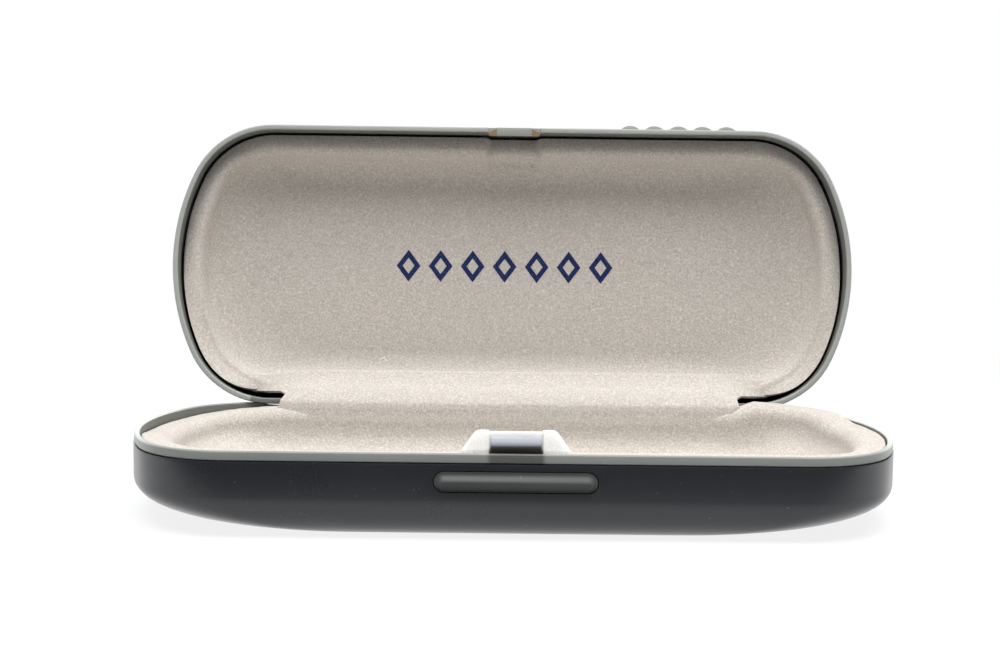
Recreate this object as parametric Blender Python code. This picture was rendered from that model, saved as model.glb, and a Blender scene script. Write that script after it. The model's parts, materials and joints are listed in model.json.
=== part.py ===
"""Hard spectacles case, standing open: two moulded shells with rim frames, a flocked lining that runs
through the hinge, pinned and sprung hinge knuckles, and a push-bar latch.

Metres, +Z up. The origin is the centre of the flat bottom; X runs along the case and the hinge is at +Y.
Lid pieces are built shut, about the hinge axis, and their parent empty swings them open.
"""

import math

import bmesh
import bpy
from mathutils import Vector

MM = 0.001

# Outline at the parting plane: straight front and back, round ends, softer corner arcs
HALF_LENGTH = 80.0 * MM
HALF_DEPTH = 32.9 * MM
SIDE_RADIUS = 50.3 * MM
CORNER_RADIUS = 20.3 * MM
ROUNDEST_CORNER = 0.97
SIDE_STEPS = 4
CORNER_STEPS = 5
STRAIGHT_STEPS = 2

# Shells
BASE_HEIGHT = 17.2 * MM
LID_HEIGHT = 17.2 * MM
UPRIGHT_HEIGHT = 9.0 * MM
END_SWEEP = 31.3 * MM
SIDE_SWEEP = 8.0 * MM
CORNER_GROWTH = 0.5
SHELL_PROUD = 0.15 * MM
BASE_FLOOR = 2.2 * MM
LID_TOP = 1.5 * MM
CURVE_STEPS = 5

# Rim frames: a strip on the shell's edge, as wide as the wall, with a skirt that laps inside it
STRIP_WIDTH = 1.2 * MM
STRIP_HEIGHT = 1.8 * MM
STRIP_CHAMFER = 0.25 * MM
SKIRT_WALL = 0.45 * MM
BASE_SKIRT = 0.8 * MM
LID_SKIRT = 2.5 * MM
REAR_RELIEF = 0.85 * MM
RELIEF_BEYOND = 7.1 * MM
RELIEF_RAMP = 7.0 * MM

# Clearances
SEAM = 0.2 * MM
GAP = 0.3 * MM
PARTING_GAP = 0.25 * MM

# Lining
SHEET = 1.2 * MM
BASE_FLANGE_DROP = 0.8 * MM
LATCH_ROOM = 0.7 * MM
LID_FLANGE_DROP = 5.2 * MM
LID_FLANGE = 5.0 * MM
LID_AIR = 1.8 * MM
LID_END_SWEEP = 14.0 * MM
LID_SIDE_SWEEP = 7.0 * MM
FILLET = 1.6 * MM
FILLET_STEPS = 3
EAR_HALF_TOP = 7.3 * MM
EAR_HALF_FOOT = 11.2 * MM
EAR_TOP = 4.0 * MM
EAR_DEPTH = 5.0 * MM
RECESS_HALF = 6.2 * MM
RECESS_LENGTH = 5.5 * MM
RECESS_DEPTH = 0.7 * MM

# Hinge
OPEN_ANGLE = 98.8
AXIS_INSET = 1.3 * MM
AXIS_ABOVE_RIM = 1.2 * MM
KNUCKLE_RADIUS = 1.3 * MM
PIN_RADIUS = 0.5 * MM
PIN_CLEARANCE = 0.15 * MM
PIN_HEAD_RADIUS = 0.85 * MM
PIN_HEAD = 0.5 * MM
HINGE_SETBACK = 6.0 * MM
KNUCKLE_LENGTH = 4.0 * MM
SPRING_SPACE = 4.0 * MM
ROOT_INNER = 0.15 * MM
ROOT_OUTER = 1.0 * MM
RAIL_SETBACK = 3.0 * MM
RAIL_THICKNESS = 1.4 * MM
NOTCH_ROOM = 0.45 * MM
RAIL_ABOVE_NOTCH = 0.1 * MM
HINGE_WIRE = 0.18 * MM
HINGE_COIL_ROOM = 0.22 * MM
HINGE_TURNS = 3.25
WEB_SETBACK = 4.9 * MM
WEB_THICKNESS = 0.8 * MM
WEB_FOOT = 1.2 * MM
WEB_RISE = 0.6 * MM
WEB_TURN = 1.6 * MM
WEB_SPARE = 1.03
WEB_ANGLES = (155, 125, 95)

# Latch
BUTTON_HALF = 15.8 * MM
BUTTON_HEIGHT = 3.7 * MM
BUTTON_TOP_DROP = 3.6 * MM
BUTTON_PROUD = 1.0 * MM
BUTTON_EDGE = 0.35 * MM
SLIDE_TRAVEL = 1.2 * MM
PLATE_THICKNESS = 1.4 * MM
PLATE_TOP_ROOM = 0.5 * MM
PLATE_BELOW_BUTTON = 1.7 * MM
PEG_OFFSET = 12.0 * MM
PEG_RADIUS = 0.9 * MM
HOOK_HALF = 5.0 * MM
HOOK_TOP = 2.8 * MM
HOOK_LIP = 1.3 * MM
HOOK_STEM = 1.4 * MM
CATCH_HALF = 6.05 * MM
CATCH_REACH = 2.0 * MM
CATCH_THICKNESS = 0.75 * MM
CATCH_GUSSET = 2.1 * MM
CATCH_OVERLAP = 0.6 * MM
RETURN_LENGTH = 2.4 * MM
RETURN_OFFSET = 8.5 * MM
RETURN_COIL_RADIUS = 1.05 * MM
RETURN_WIRE = 0.15 * MM
RETURN_TURNS = 3.0
SPIGOT_RADIUS = 0.6 * MM
GUIDE_WALL = 0.9 * MM
GUIDE_EAR = 5.6 * MM
SCREW_RADIUS = 0.5 * MM
SCREW_HEAD_RADIUS = 1.4 * MM
SCREW_HEAD = 0.7 * MM
BOSS_RADIUS = 1.9 * MM
PILOT_DEPTH = 2.2 * MM

# Grip ribs on the lid's front wall
RIB_COUNT = 5
RIB_FIRST = 27.7 * MM
RIB_PITCH = 5.75 * MM
RIB_WIDTH = 4.6 * MM
RIB_PROUD = 0.65 * MM
RIB_START = 2.6 * MM
RIB_LENGTH = 5.6 * MM
RIB_STEPS = 6

# Colours, roughness and metallic value of each finish
FINISHES = {
    "shell": ((0.026, 0.028, 0.032), 0.38, 0.0),
    "rim": ((0.30, 0.31, 0.30), 0.42, 0.0),
    "button": ((0.045, 0.046, 0.046), 0.42, 0.0),
    "hook": ((0.42, 0.44, 0.46), 0.40, 0.0),
    "flock": ((0.60, 0.54, 0.49), 0.95, 0.0),
    "guide": ((0.10, 0.10, 0.11), 0.5, 0.0),
    "steel": ((0.55, 0.56, 0.58), 0.3, 1.0),
}

# Places that follow from those sizes
SHELL_WALL = STRIP_WIDTH + SHELL_PROUD
LINING_EDGE = STRIP_WIDTH + GAP
CORNER_Y = HALF_DEPTH - CORNER_RADIUS
STRAIGHT_HALF = HALF_LENGTH - SIDE_RADIUS + math.sqrt((SIDE_RADIUS - CORNER_RADIUS) ** 2 - CORNER_Y ** 2)

AXIS_Y = HALF_DEPTH - AXIS_INSET
AXIS_Z = BASE_HEIGHT + AXIS_ABOVE_RIM
LID_PARTING = BASE_HEIGHT + PARTING_GAP
WEB_HALF = STRAIGHT_HALF - WEB_SETBACK
RAIL_HALF = WEB_HALF - RAIL_SETBACK
HINGE_END = WEB_HALF - HINGE_SETBACK
HINGE_START = HINGE_END - 4 * KNUCKLE_LENGTH - SPRING_SPACE
RELIEF_END = STRAIGHT_HALF + RELIEF_BEYOND
NOTCH_HEIGHT = KNUCKLE_RADIUS + NOTCH_ROOM
RAIL_START = NOTCH_HEIGHT + RAIL_ABOVE_NOTCH
HINGE_COIL_RADIUS = PIN_RADIUS + HINGE_WIRE + HINGE_COIL_ROOM

FRONT_WALL_Y = -HALF_DEPTH + STRIP_WIDTH
BUTTON_Z = BASE_HEIGHT - BUTTON_TOP_DROP - BUTTON_HEIGHT / 2
PLATE_HALF = BUTTON_HALF
PLATE_TOP = BASE_HEIGHT - BASE_FLANGE_DROP - SHEET - PLATE_TOP_ROOM
PLATE_BOTTOM = BUTTON_Z - BUTTON_HEIGHT / 2 - PLATE_BELOW_BUTTON
PLATE_FRONT_Y = FRONT_WALL_Y + GAP
PLATE_BACK_Y = PLATE_FRONT_Y + PLATE_THICKNESS
CATCH_INNER_Y = -HALF_DEPTH + CATCH_REACH
STEM_FRONT_Y = CATCH_INNER_Y + GAP
STEM_BACK_Y = STEM_FRONT_Y + HOOK_STEM
NOSE_Y = CATCH_INNER_Y - CATCH_OVERLAP
GUIDE_PLATE_Y = PLATE_BACK_Y + RETURN_LENGTH
GUIDE_FRONT_Y = GUIDE_PLATE_Y - GUIDE_WALL
GUIDE_BACK_Y = GUIDE_PLATE_Y + GUIDE_WALL
GUIDE_HALF = PLATE_HALF + 1.5 * GAP + GUIDE_WALL
SCREW_X = GUIDE_HALF + GUIDE_EAR / 2
BASE_FLANGE_INSET = HALF_DEPTH + GUIDE_BACK_Y + LATCH_ROOM + SHEET


# ---------------------------------------------------------------- helpers

def finish(obj, name):
    """Give an object its own material in one of the named finishes."""
    colour, roughness, metallic = FINISHES[name]
    material = bpy.data.materials.new(obj.name)
    material.use_nodes = True
    shader = material.node_tree.nodes["Principled BSDF"]
    shader.inputs["Base Color"].default_value = (*colour, 1.0)
    shader.inputs["Roughness"].default_value = roughness
    shader.inputs["Metallic"].default_value = metallic
    obj.data.materials.append(material)


def place(name, mesh, parent):
    obj = bpy.data.objects.new(name, mesh)
    bpy.context.scene.collection.objects.link(obj)
    if parent:
        obj.parent = parent
    return obj


def mesh_object(name, points, faces, parent=None):
    """A closed mesh with its faces turned outwards."""
    mesh = bpy.data.meshes.new(name)
    mesh.from_pydata(points, [], faces)
    shape = bmesh.new()
    shape.from_mesh(mesh)
    bmesh.ops.recalc_face_normals(shape, faces=shape.faces)
    shape.to_mesh(mesh)
    shape.free()
    mesh.shade_smooth()
    mesh.set_sharp_from_angle(angle=math.radians(35))
    return place(name, mesh, parent)


def loft(name, rings, parent=None, closed=False):
    """Join rings of equally many points, capped at both ends or closed into a hoop."""
    count = len(rings[0])
    points = [point for ring in rings for point in ring]
    faces = []
    for tier in range(len(rings) if closed else len(rings) - 1):
        low = tier * count
        high = (tier + 1) % len(rings) * count
        for i in range(count):
            j = (i + 1) % count
            faces.append((low + i, low + j, high + j, high + i))
    if not closed:
        faces.append(tuple(range(count)))
        faces.append(tuple((len(rings) - 1) * count + i for i in range(count)))
    return mesh_object(name, points, faces, parent)


def prism(name, profile, axis, start, end, parent=None):
    """Extrude a profile along X, Y or Z; its points hold the other two coordinates in order."""
    rings = []
    for at in (start, end):
        ring = []
        for first, second in profile:
            point = [first, second]
            point.insert(axis, at)
            ring.append(Vector(point))
        rings.append(ring)
    return loft(name, rings, parent)


def box(name, low, high, parent=None):
    corners = [(low[1], low[2]), (high[1], low[2]), (high[1], high[2]), (low[1], high[2])]
    return prism(name, corners, 0, low[0], high[0], parent)


def circle(centre, radius, sides=12):
    return [
        (centre[0] + radius * math.cos(2 * math.pi * i / sides),
         centre[1] + radius * math.sin(2 * math.pi * i / sides))
        for i in range(sides)
    ]


def stadium(half_length, height, centre_z, sides=6):
    """A bar with full round ends, in X and Z."""
    radius = height / 2
    points = []
    for side in (1, -1):
        for i in range(sides + 1):
            angle = math.radians(-90 + 180 * i / sides)
            x = side * (half_length - radius + radius * math.cos(angle))
            points.append((x, centre_z + side * radius * math.sin(angle)))
    return points


def helper(obj):
    obj.hide_render = True
    obj.display_type = "WIRE"
    return obj


def combine(target, other, operation):
    modifier = target.modifiers.new(f"{operation.lower()} {other.name}", "BOOLEAN")
    modifier.operation = operation
    modifier.solver = "EXACT"
    modifier.object = helper(other)


def wire(name, points, radius, parent=None):
    """A round wire along a line of points, with filled ends."""
    curve = bpy.data.curves.new(name, "CURVE")
    curve.dimensions = "3D"
    curve.bevel_depth = radius
    curve.bevel_resolution = 1
    curve.use_fill_caps = True
    spline = curve.splines.new("POLY")
    spline.points.add(len(points) - 1)
    for spot, point in zip(spline.points, points):
        spot.co = (*point, 1.0)
    return place(name, curve, parent)


# ---------------------------------------------------------------- outline

def outline(half_x, half_y, side_radius, corner_radius):
    """The case's plan as a loop of (x, y): side arc, corner arc, straight, in each quarter."""
    corner_y = half_y - corner_radius
    offset = math.sqrt((side_radius - corner_radius) ** 2 - corner_y ** 2)
    side_x = half_x - side_radius
    corner_x = side_x + offset
    turn = math.atan2(corner_y, offset)
    quarter = []
    for i in range(SIDE_STEPS):
        angle = turn * i / SIDE_STEPS
        quarter.append((side_x + side_radius * math.cos(angle), side_radius * math.sin(angle)))
    for i in range(CORNER_STEPS + 1):
        angle = turn + (math.pi / 2 - turn) * i / CORNER_STEPS
        x = corner_x + corner_radius * math.cos(angle)
        quarter.append((x, corner_y + corner_radius * math.sin(angle)))
    for i in range(1, STRAIGHT_STEPS):
        quarter.append((corner_x * (1 - i / STRAIGHT_STEPS), half_y))
    loop = quarter + [(0.0, half_y)]
    loop += [(-x, y) for x, y in reversed(quarter)]
    loop += [(-x, -y) for x, y in quarter[1:]] + [(0.0, -half_y)]
    loop += [(x, -y) for x, y in reversed(quarter[1:])]
    return loop


def level(inset, height, sweep=0.0, end_sweep=END_SWEEP, side_sweep=SIDE_SWEEP):
    """One ring of the outline, inset all round and drawn in by a share of the two sweeps."""
    half_y = HALF_DEPTH - inset - side_sweep * sweep
    corner = CORNER_RADIUS - inset + CORNER_GROWTH * side_sweep * sweep
    corner = min(corner, ROUNDEST_CORNER * half_y)
    side = max(SIDE_RADIUS - inset - side_sweep * sweep, half_y + GAP)
    half_x = HALF_LENGTH - inset - end_sweep * sweep
    return [Vector((x, y, height)) for x, y in outline(half_x, half_y, side, corner)]


def curve(inset, low, high, end_sweep=END_SWEEP, side_sweep=SIDE_SWEEP, steps=CURVE_STEPS):
    """Rings of an elliptical turn, from the flat at height low out to the upright wall at high."""
    rings = []
    for i in range(steps + 1):
        angle = math.pi / 2 * (1 - i / steps)
        height = low + (high - low) * (1 - math.sin(angle))
        rings.append(level(inset, height, 1 - math.cos(angle), end_sweep, side_sweep))
    return rings


def about_hinge(rings):
    """Mirror rings measured from the bottom into lid rings measured from the hinge axis, lid shut."""
    def turned(point):
        return Vector((point.x, point.y - AXIS_Y, 2 * LID_PARTING - AXIS_Z - (
            point.z + LID_PARTING - BASE_HEIGHT)))
    return [[turned(point) for point in ring] for ring in rings]


def from_axis(point):
    """A place in the shut case, seen from the hinge axis."""
    return (point[0], point[1] - AXIS_Y, point[2] - AXIS_Z)


# ---------------------------------------------------------------- shells and rims

def shell_rings(height, floor, skirt):
    """A shell standing on its flat: outside, rebated edge, then inside down to the floor."""
    edge = height - STRIP_HEIGHT - SEAM
    rebate = STRIP_WIDTH - SKIRT_WALL - SEAM
    turn = height - UPRIGHT_HEIGHT
    rings = curve(-SHELL_PROUD, 0.0, turn)
    rings.append(level(-SHELL_PROUD, edge))
    rings.append(level(rebate, edge))
    rings.append(level(rebate, edge - skirt))
    rings.append(level(STRIP_WIDTH, edge - skirt))
    rings += reversed(curve(STRIP_WIDTH, floor, turn))
    return rings


def rim_rings(height, skirt):
    """The rim frame's section, swept round the outline: a chamfered strip over an inner skirt."""
    foot = height - STRIP_HEIGHT
    section = [
        (0.0, foot),
        (0.0, height - STRIP_CHAMFER),
        (STRIP_CHAMFER, height),
        (STRIP_WIDTH - STRIP_CHAMFER, height),
        (STRIP_WIDTH, height - STRIP_CHAMFER),
        (STRIP_WIDTH, foot - skirt),
        (STRIP_WIDTH - SKIRT_WALL, foot - skirt),
        (STRIP_WIDTH - SKIRT_WALL, foot),
    ]
    return [level(inset, z) for inset, z in section]


def relieve(rings):
    """Lower a rim's top along the hinge, ramped at both ends, to let the open lid lie back."""
    foot = BASE_HEIGHT - STRIP_HEIGHT
    for ring in rings:
        for point in ring:
            if point.y > 0 and point.z > foot + STRIP_CHAMFER:
                share = (RELIEF_END - abs(point.x)) / RELIEF_RAMP
                point.z -= REAR_RELIEF * min(max(share, 0.0), 1.0)
    return rings


def base_shell():
    shell = loft("base_shell", shell_rings(BASE_HEIGHT, BASE_FLOOR, BASE_SKIRT))
    for side in (-1, 1):
        x = side * SCREW_X
        boss = prism(f"boss_{side}", circle((x, BUTTON_Z), BOSS_RADIUS), 1,
                     FRONT_WALL_Y - SHELL_WALL / 2, GUIDE_FRONT_Y - GAP)
        combine(shell, boss, "UNION")
        pilot = prism(f"pilot_{side}", circle((x, BUTTON_Z), SCREW_RADIUS + SEAM), 1,
                      GUIDE_FRONT_Y - GAP - PILOT_DEPTH, GUIDE_FRONT_Y + GAP)
        combine(shell, pilot, "DIFFERENCE")
    slot = prism("button_slot", stadium(BUTTON_HALF + GAP, BUTTON_HEIGHT + 2 * GAP, BUTTON_Z), 1,
                 -HALF_DEPTH - 3 * SHELL_WALL, FRONT_WALL_Y + SHELL_WALL)
    combine(shell, slot, "DIFFERENCE")
    finish(shell, "shell")


def knuckle_spans():
    """Where each hinge's knuckles lie along X, outwards: base, lid, spring, lid, base."""
    lengths = [KNUCKLE_LENGTH, KNUCKLE_LENGTH, SPRING_SPACE, KNUCKLE_LENGTH, KNUCKLE_LENGTH]
    kinds = ["base", "lid", "spring", "lid", "base"]
    spans = []
    at = HINGE_START
    for kind, length in zip(kinds, lengths):
        spans.append((kind, at + GAP / 2, at + length - GAP / 2))
        at += length
    return spans


def mirrored(side, low, high):
    return (low, high) if side > 0 else (-high, -low)


def barrel(start_angle, end_angle, root, steps=11):
    """A knuckle's end view about the axis: most of a circle and the corners of its root."""
    points = []
    for i in range(steps + 1):
        angle = math.radians(start_angle + (end_angle - start_angle) * i / steps)
        points.append((KNUCKLE_RADIUS * math.cos(angle), KNUCKLE_RADIUS * math.sin(angle)))
    return points + root


def base_rim():
    rim = loft("base_rim", relieve(rim_rings(BASE_HEIGHT, BASE_SKIRT)), closed=True)
    root_foot = -(AXIS_ABOVE_RIM + STRIP_HEIGHT - GAP)
    below = math.degrees(math.acos(ROOT_OUTER / KNUCKLE_RADIUS))
    under = math.degrees(math.acos(ROOT_INNER / KNUCKLE_RADIUS))
    section = barrel(-below, 360 - under, [(ROOT_INNER, root_foot), (ROOT_OUTER, root_foot)])
    section = [(y + AXIS_Y, z + AXIS_Z) for y, z in section]
    for side in (-1, 1):
        for kind, low, high in knuckle_spans():
            if kind == "base":
                start, end = mirrored(side, low, high)
                knuckle = prism(f"base_knuckle_{side}_{low:.4f}", section, 0, start, end)
                combine(rim, knuckle, "UNION")
        start, end = mirrored(side, HINGE_START - GAP, HINGE_END + GAP)
        bore = prism(f"base_bore_{side}", circle((AXIS_Y, AXIS_Z), PIN_RADIUS + PIN_CLEARANCE), 0,
                     start, end)
        combine(rim, bore, "DIFFERENCE")
    finish(rim, "rim")


def lid_notches(target, spans, parent):
    """Clear the lid's edge along each span of both hinges, with room for the pin's head."""
    low_z = LID_PARTING - AXIS_Z - GAP
    for side in (-1, 1):
        for low, high in spans:
            room = GAP + (PIN_HEAD if high > HINGE_END - GAP else 0.0)
            start, end = mirrored(side, low - GAP, high + room)
            notch = box(f"{target.name}_notch_{side}_{low:.4f}", (start, -3 * AXIS_INSET, low_z),
                        (end, 3 * AXIS_INSET, NOTCH_HEIGHT), parent)
            combine(target, notch, "DIFFERENCE")


def lid_shell(lid):
    shell = loft("lid_shell", about_hinge(shell_rings(LID_HEIGHT, LID_TOP, LID_SKIRT)), lid)
    lid_notches(shell, [(HINGE_START, HINGE_END)], lid)
    half = RIB_WIDTH / 2
    radius = (half ** 2 + RIB_PROUD ** 2) / (2 * RIB_PROUD)
    front = -HALF_DEPTH - SHELL_PROUD - AXIS_Y
    spread = math.asin(half / radius)
    foot = LID_PARTING - AXIS_Z + RIB_START
    for i in range(RIB_COUNT):
        centre = RIB_FIRST + i * RIB_PITCH
        arc = []
        for step in range(RIB_STEPS + 1):
            angle = spread * (2 * step / RIB_STEPS - 1)
            arc.append((centre + radius * math.sin(angle),
                        front - RIB_PROUD + radius * (1 - math.cos(angle))))
        arc += [(centre + half, front + SHELL_WALL / 2), (centre - half, front + SHELL_WALL / 2)]
        rib = prism(f"rib_{i}", arc, 2, foot, foot + RIB_LENGTH, lid)
        combine(shell, rib, "UNION")
    finish(shell, "shell")


def lid_rim(lid):
    rim = loft("lid_rim", about_hinge(rim_rings(LID_HEIGHT, LID_SKIRT)), lid, closed=True)
    skirt_end = LID_PARTING + STRIP_HEIGHT + LID_SKIRT - AXIS_Z
    rail = box("hinge_rail", (-RAIL_HALF, -RAIL_THICKNESS, RAIL_START),
               (RAIL_HALF, AXIS_INSET - STRIP_WIDTH + SKIRT_WALL / 2, skirt_end), lid)
    combine(rim, rail, "UNION")
    lid_notches(rim, [(low, high) for kind, low, high in knuckle_spans() if kind != "lid"], lid)
    reach = RAIL_START + GAP
    lean = math.degrees(math.asin(SEAM / KNUCKLE_RADIUS))
    section = barrel(180, 450 + lean, [(-SEAM, reach), (-KNUCKLE_RADIUS, reach)])
    for side in (-1, 1):
        for kind, low, high in knuckle_spans():
            if kind == "lid":
                start, end = mirrored(side, low, high)
                knuckle = prism(f"lid_knuckle_{side}_{low:.4f}", section, 0, start, end, lid)
                combine(rim, knuckle, "UNION")
        start, end = mirrored(side, HINGE_START - GAP, HINGE_END + GAP)
        bore = prism(f"lid_bore_{side}", circle((0, 0), PIN_RADIUS + PIN_CLEARANCE), 0,
                     start, end, lid)
        combine(rim, bore, "DIFFERENCE")
    low = from_axis((-CATCH_HALF - SEAM, -HALF_DEPTH - GAP, LID_PARTING - GAP))
    high = from_axis((CATCH_HALF + SEAM, -HALF_DEPTH + STRIP_WIDTH + GAP,
                      LID_PARTING + CATCH_THICKNESS + SEAM))
    combine(rim, box("catch_notch", low, high, lid), "DIFFERENCE")
    finish(rim, "rim")


# ---------------------------------------------------------------- lining

def tray_rings(flange_height, flange, floor, end_sweep, side_sweep):
    """A formed sheet: underside from its floor out to the edge, then the flange, fillet and pocket."""
    under = flange - SHEET
    rings = curve(under, floor - SHEET, flange_height - SHEET - FILLET, end_sweep, side_sweep)
    rings.append(level(under, flange_height - SHEET))
    rings.append(level(LINING_EDGE, flange_height - SHEET))
    rings.append(level(LINING_EDGE, flange_height))
    for i in range(FILLET_STEPS + 1):
        angle = math.pi / 2 * i / FILLET_STEPS
        inset = flange - FILLET + FILLET * math.sin(angle)
        rings.append(level(inset, flange_height - FILLET * (1 - math.cos(angle))))
    rings += list(reversed(curve(flange, floor, flange_height - FILLET, end_sweep, side_sweep)))[1:]
    return rings


def base_liner():
    flange_z = BASE_HEIGHT - BASE_FLANGE_DROP
    floor = BASE_FLOOR + GAP + SHEET
    rings = tray_rings(flange_z, BASE_FLANGE_INSET, floor, END_SWEEP, SIDE_SWEEP)
    liner = loft("base_liner", rings)
    front = CATCH_INNER_Y + GAP + SEAM
    top = BASE_HEIGHT + EAR_TOP
    ear_foot = flange_z - SHEET / 2
    profile = [(-EAR_HALF_FOOT, ear_foot), (EAR_HALF_FOOT, ear_foot), (EAR_HALF_FOOT, flange_z + GAP),
               (EAR_HALF_TOP + GAP, top - 2 * GAP), (EAR_HALF_TOP - GAP, top),
               (-EAR_HALF_TOP + GAP, top), (-EAR_HALF_TOP - GAP, top - 2 * GAP),
               (-EAR_HALF_FOOT, flange_z + GAP)]
    combine(liner, prism("ear", profile, 1, front, front + EAR_DEPTH), "UNION")
    pocket = box("hook_pocket", (-HOOK_HALF - GAP, -HALF_DEPTH, flange_z - 2 * SHEET),
                 (HOOK_HALF + GAP, STEM_BACK_Y + SLIDE_TRAVEL + GAP, top + GAP))
    combine(liner, pocket, "DIFFERENCE")
    finish(liner, "flock")


def lid_liner(lid):
    flange_z = LID_HEIGHT - LID_FLANGE_DROP
    rings = tray_rings(flange_z, LID_FLANGE + LINING_EDGE, LID_TOP + LID_AIR + SHEET,
                       LID_END_SWEEP, LID_SIDE_SWEEP)
    liner = loft("lid_liner", about_hinge(rings), lid)
    face = LID_PARTING + LID_FLANGE_DROP
    low = from_axis((-RECESS_HALF, -HALF_DEPTH, face - GAP))
    high = from_axis((RECESS_HALF, -HALF_DEPTH + LINING_EDGE + RECESS_LENGTH, face + RECESS_DEPTH))
    combine(liner, box("hook_recess", low, high, lid), "DIFFERENCE")
    finish(liner, "flock")


def hinge_web():
    """The fold of lining over the knuckles, from the base's flange up to the open lid's flange."""
    clear = KNUCKLE_RADIUS + GAP + WEB_THICKNESS / 2
    flange_z = BASE_HEIGHT - BASE_FLANGE_DROP
    opened = math.radians(OPEN_ANGLE)
    face = LID_PARTING + LID_FLANGE_DROP - AXIS_Z - GAP - WEB_THICKNESS / 2
    across = -(LID_FLANGE - FILLET)
    end_y = AXIS_Y + across * math.cos(opened) + face * math.sin(opened)
    end_z = AXIS_Z - across * math.sin(opened) + face * math.cos(opened)
    path = [(AXIS_Y - clear - WEB_FOOT, flange_z + GAP + WEB_THICKNESS / 2),
            (AXIS_Y - clear - GAP, AXIS_Z - WEB_RISE)]
    for degrees in WEB_ANGLES:
        angle = math.radians(degrees)
        radius = WEB_SPARE * clear
        path.append((AXIS_Y + radius * math.cos(angle), AXIS_Z + radius * math.sin(angle)))
    path.append((end_y - WEB_TURN, AXIS_Z + clear + SEAM))
    path.append((end_y - 1.5 * GAP, (AXIS_Z + clear + end_z) / 2))
    path.append((end_y, end_z))
    left, right = [], []
    for i, (y, z) in enumerate(path):
        before = path[max(i - 1, 0)]
        after = path[min(i + 1, len(path) - 1)]
        along = Vector((after[0] - before[0], after[1] - before[1])).normalized()
        normal = Vector((-along.y, along.x)) * WEB_THICKNESS / 2
        left.append((y + normal.x, z + normal.y))
        right.append((y - normal.x, z - normal.y))
    web = prism("hinge_web", left + right[::-1], 0, -WEB_HALF, WEB_HALF)
    finish(web, "flock")


# ---------------------------------------------------------------- hinge hardware

def hinge_hardware():
    for side, word in ((-1, "left"), (1, "right")):
        start, end = mirrored(side, HINGE_START + GAP, HINGE_END + PIN_HEAD / 2)
        pin = prism(f"hinge_pin_{word}", circle((AXIS_Y, AXIS_Z), PIN_RADIUS), 0, start, end)
        low, high = mirrored(side, HINGE_END, HINGE_END + PIN_HEAD)
        head = prism(f"pin_head_{word}", circle((AXIS_Y, AXIS_Z), PIN_HEAD_RADIUS), 0, low, high)
        combine(pin, head, "UNION")
        finish(pin, "steel")
        low, high = [span[1:] for span in knuckle_spans() if span[0] == "spring"][0]
        start, end = mirrored(side, low + 2 * HINGE_WIRE, high - 2 * HINGE_WIRE)
        spring = wire(f"hinge_spring_{word}", torsion_path(start, end), HINGE_WIRE)
        finish(spring, "steel")


def torsion_path(start, end, per_turn=10):
    """A leg down onto the base rim, a coil about the pin, and a leg back to the open lid's rail."""
    steps = int(HINGE_TURNS * per_turn)
    leg_foot = BASE_HEIGHT - REAR_RELIEF + GAP + HINGE_WIRE
    rail_y = AXIS_Y + RAIL_START * math.sin(math.radians(OPEN_ANGLE)) - GAP - HINGE_WIRE
    points = [(start, AXIS_Y + HINGE_COIL_RADIUS, leg_foot)]
    for i in range(steps + 1):
        angle = 2 * math.pi * HINGE_TURNS * i / steps
        points.append((start + (end - start) * i / steps,
                       AXIS_Y + HINGE_COIL_RADIUS * math.cos(angle),
                       AXIS_Z + HINGE_COIL_RADIUS * math.sin(angle)))
    points.append((end, rail_y, AXIS_Z + HINGE_COIL_RADIUS))
    return points


# ---------------------------------------------------------------- latch

def push_button(slide):
    """A raised bar through the shell's slot, with two pegs that clip through the hook's plate."""
    face_y = -HALF_DEPTH - SHELL_PROUD - BUTTON_PROUD
    rings = []
    for inset, y in ((BUTTON_EDGE, face_y), (0.0, face_y + BUTTON_EDGE), (0.0, PLATE_FRONT_Y - SEAM)):
        shape = stadium(BUTTON_HALF - inset, BUTTON_HEIGHT - 2 * inset, BUTTON_Z)
        rings.append([Vector((x, y, z)) for x, z in shape])
    button = loft("push_button", rings, slide)
    for side in (-1, 1):
        peg = prism(f"button_peg_{side}", circle((side * PEG_OFFSET, BUTTON_Z), PEG_RADIUS, 8), 1,
                    PLATE_FRONT_Y - GAP, PLATE_BACK_Y + SEAM, slide)
        combine(button, peg, "UNION")
    finish(button, "button")


def latch_hook(slide):
    """The sliding plate behind the front wall and the hook that rises from it over the rim."""
    hook = box("latch_hook", (-PLATE_HALF, PLATE_FRONT_Y, PLATE_BOTTOM),
               (PLATE_HALF, PLATE_BACK_Y, PLATE_TOP), slide)
    crown = BASE_HEIGHT + HOOK_TOP
    lip = BASE_HEIGHT + HOOK_LIP
    foot = PLATE_TOP - 2 * GAP
    profile = [(STEM_FRONT_Y, foot), (STEM_BACK_Y, foot), (STEM_BACK_Y, crown),
               (STEM_BACK_Y - 2 * GAP, crown), (NOSE_Y, lip + GAP), (NOSE_Y, lip),
               (STEM_FRONT_Y, lip)]
    combine(hook, prism("hook_stem", profile, 0, -HOOK_HALF, HOOK_HALF, slide), "UNION")
    for side in (-1, 1):
        hole = prism(f"peg_hole_{side}", circle((side * PEG_OFFSET, BUTTON_Z), PEG_RADIUS + SEAM, 8), 1,
                     PLATE_FRONT_Y - GAP, PLATE_BACK_Y + GAP, slide)
        combine(hook, hole, "DIFFERENCE")
    finish(hook, "hook")


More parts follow.
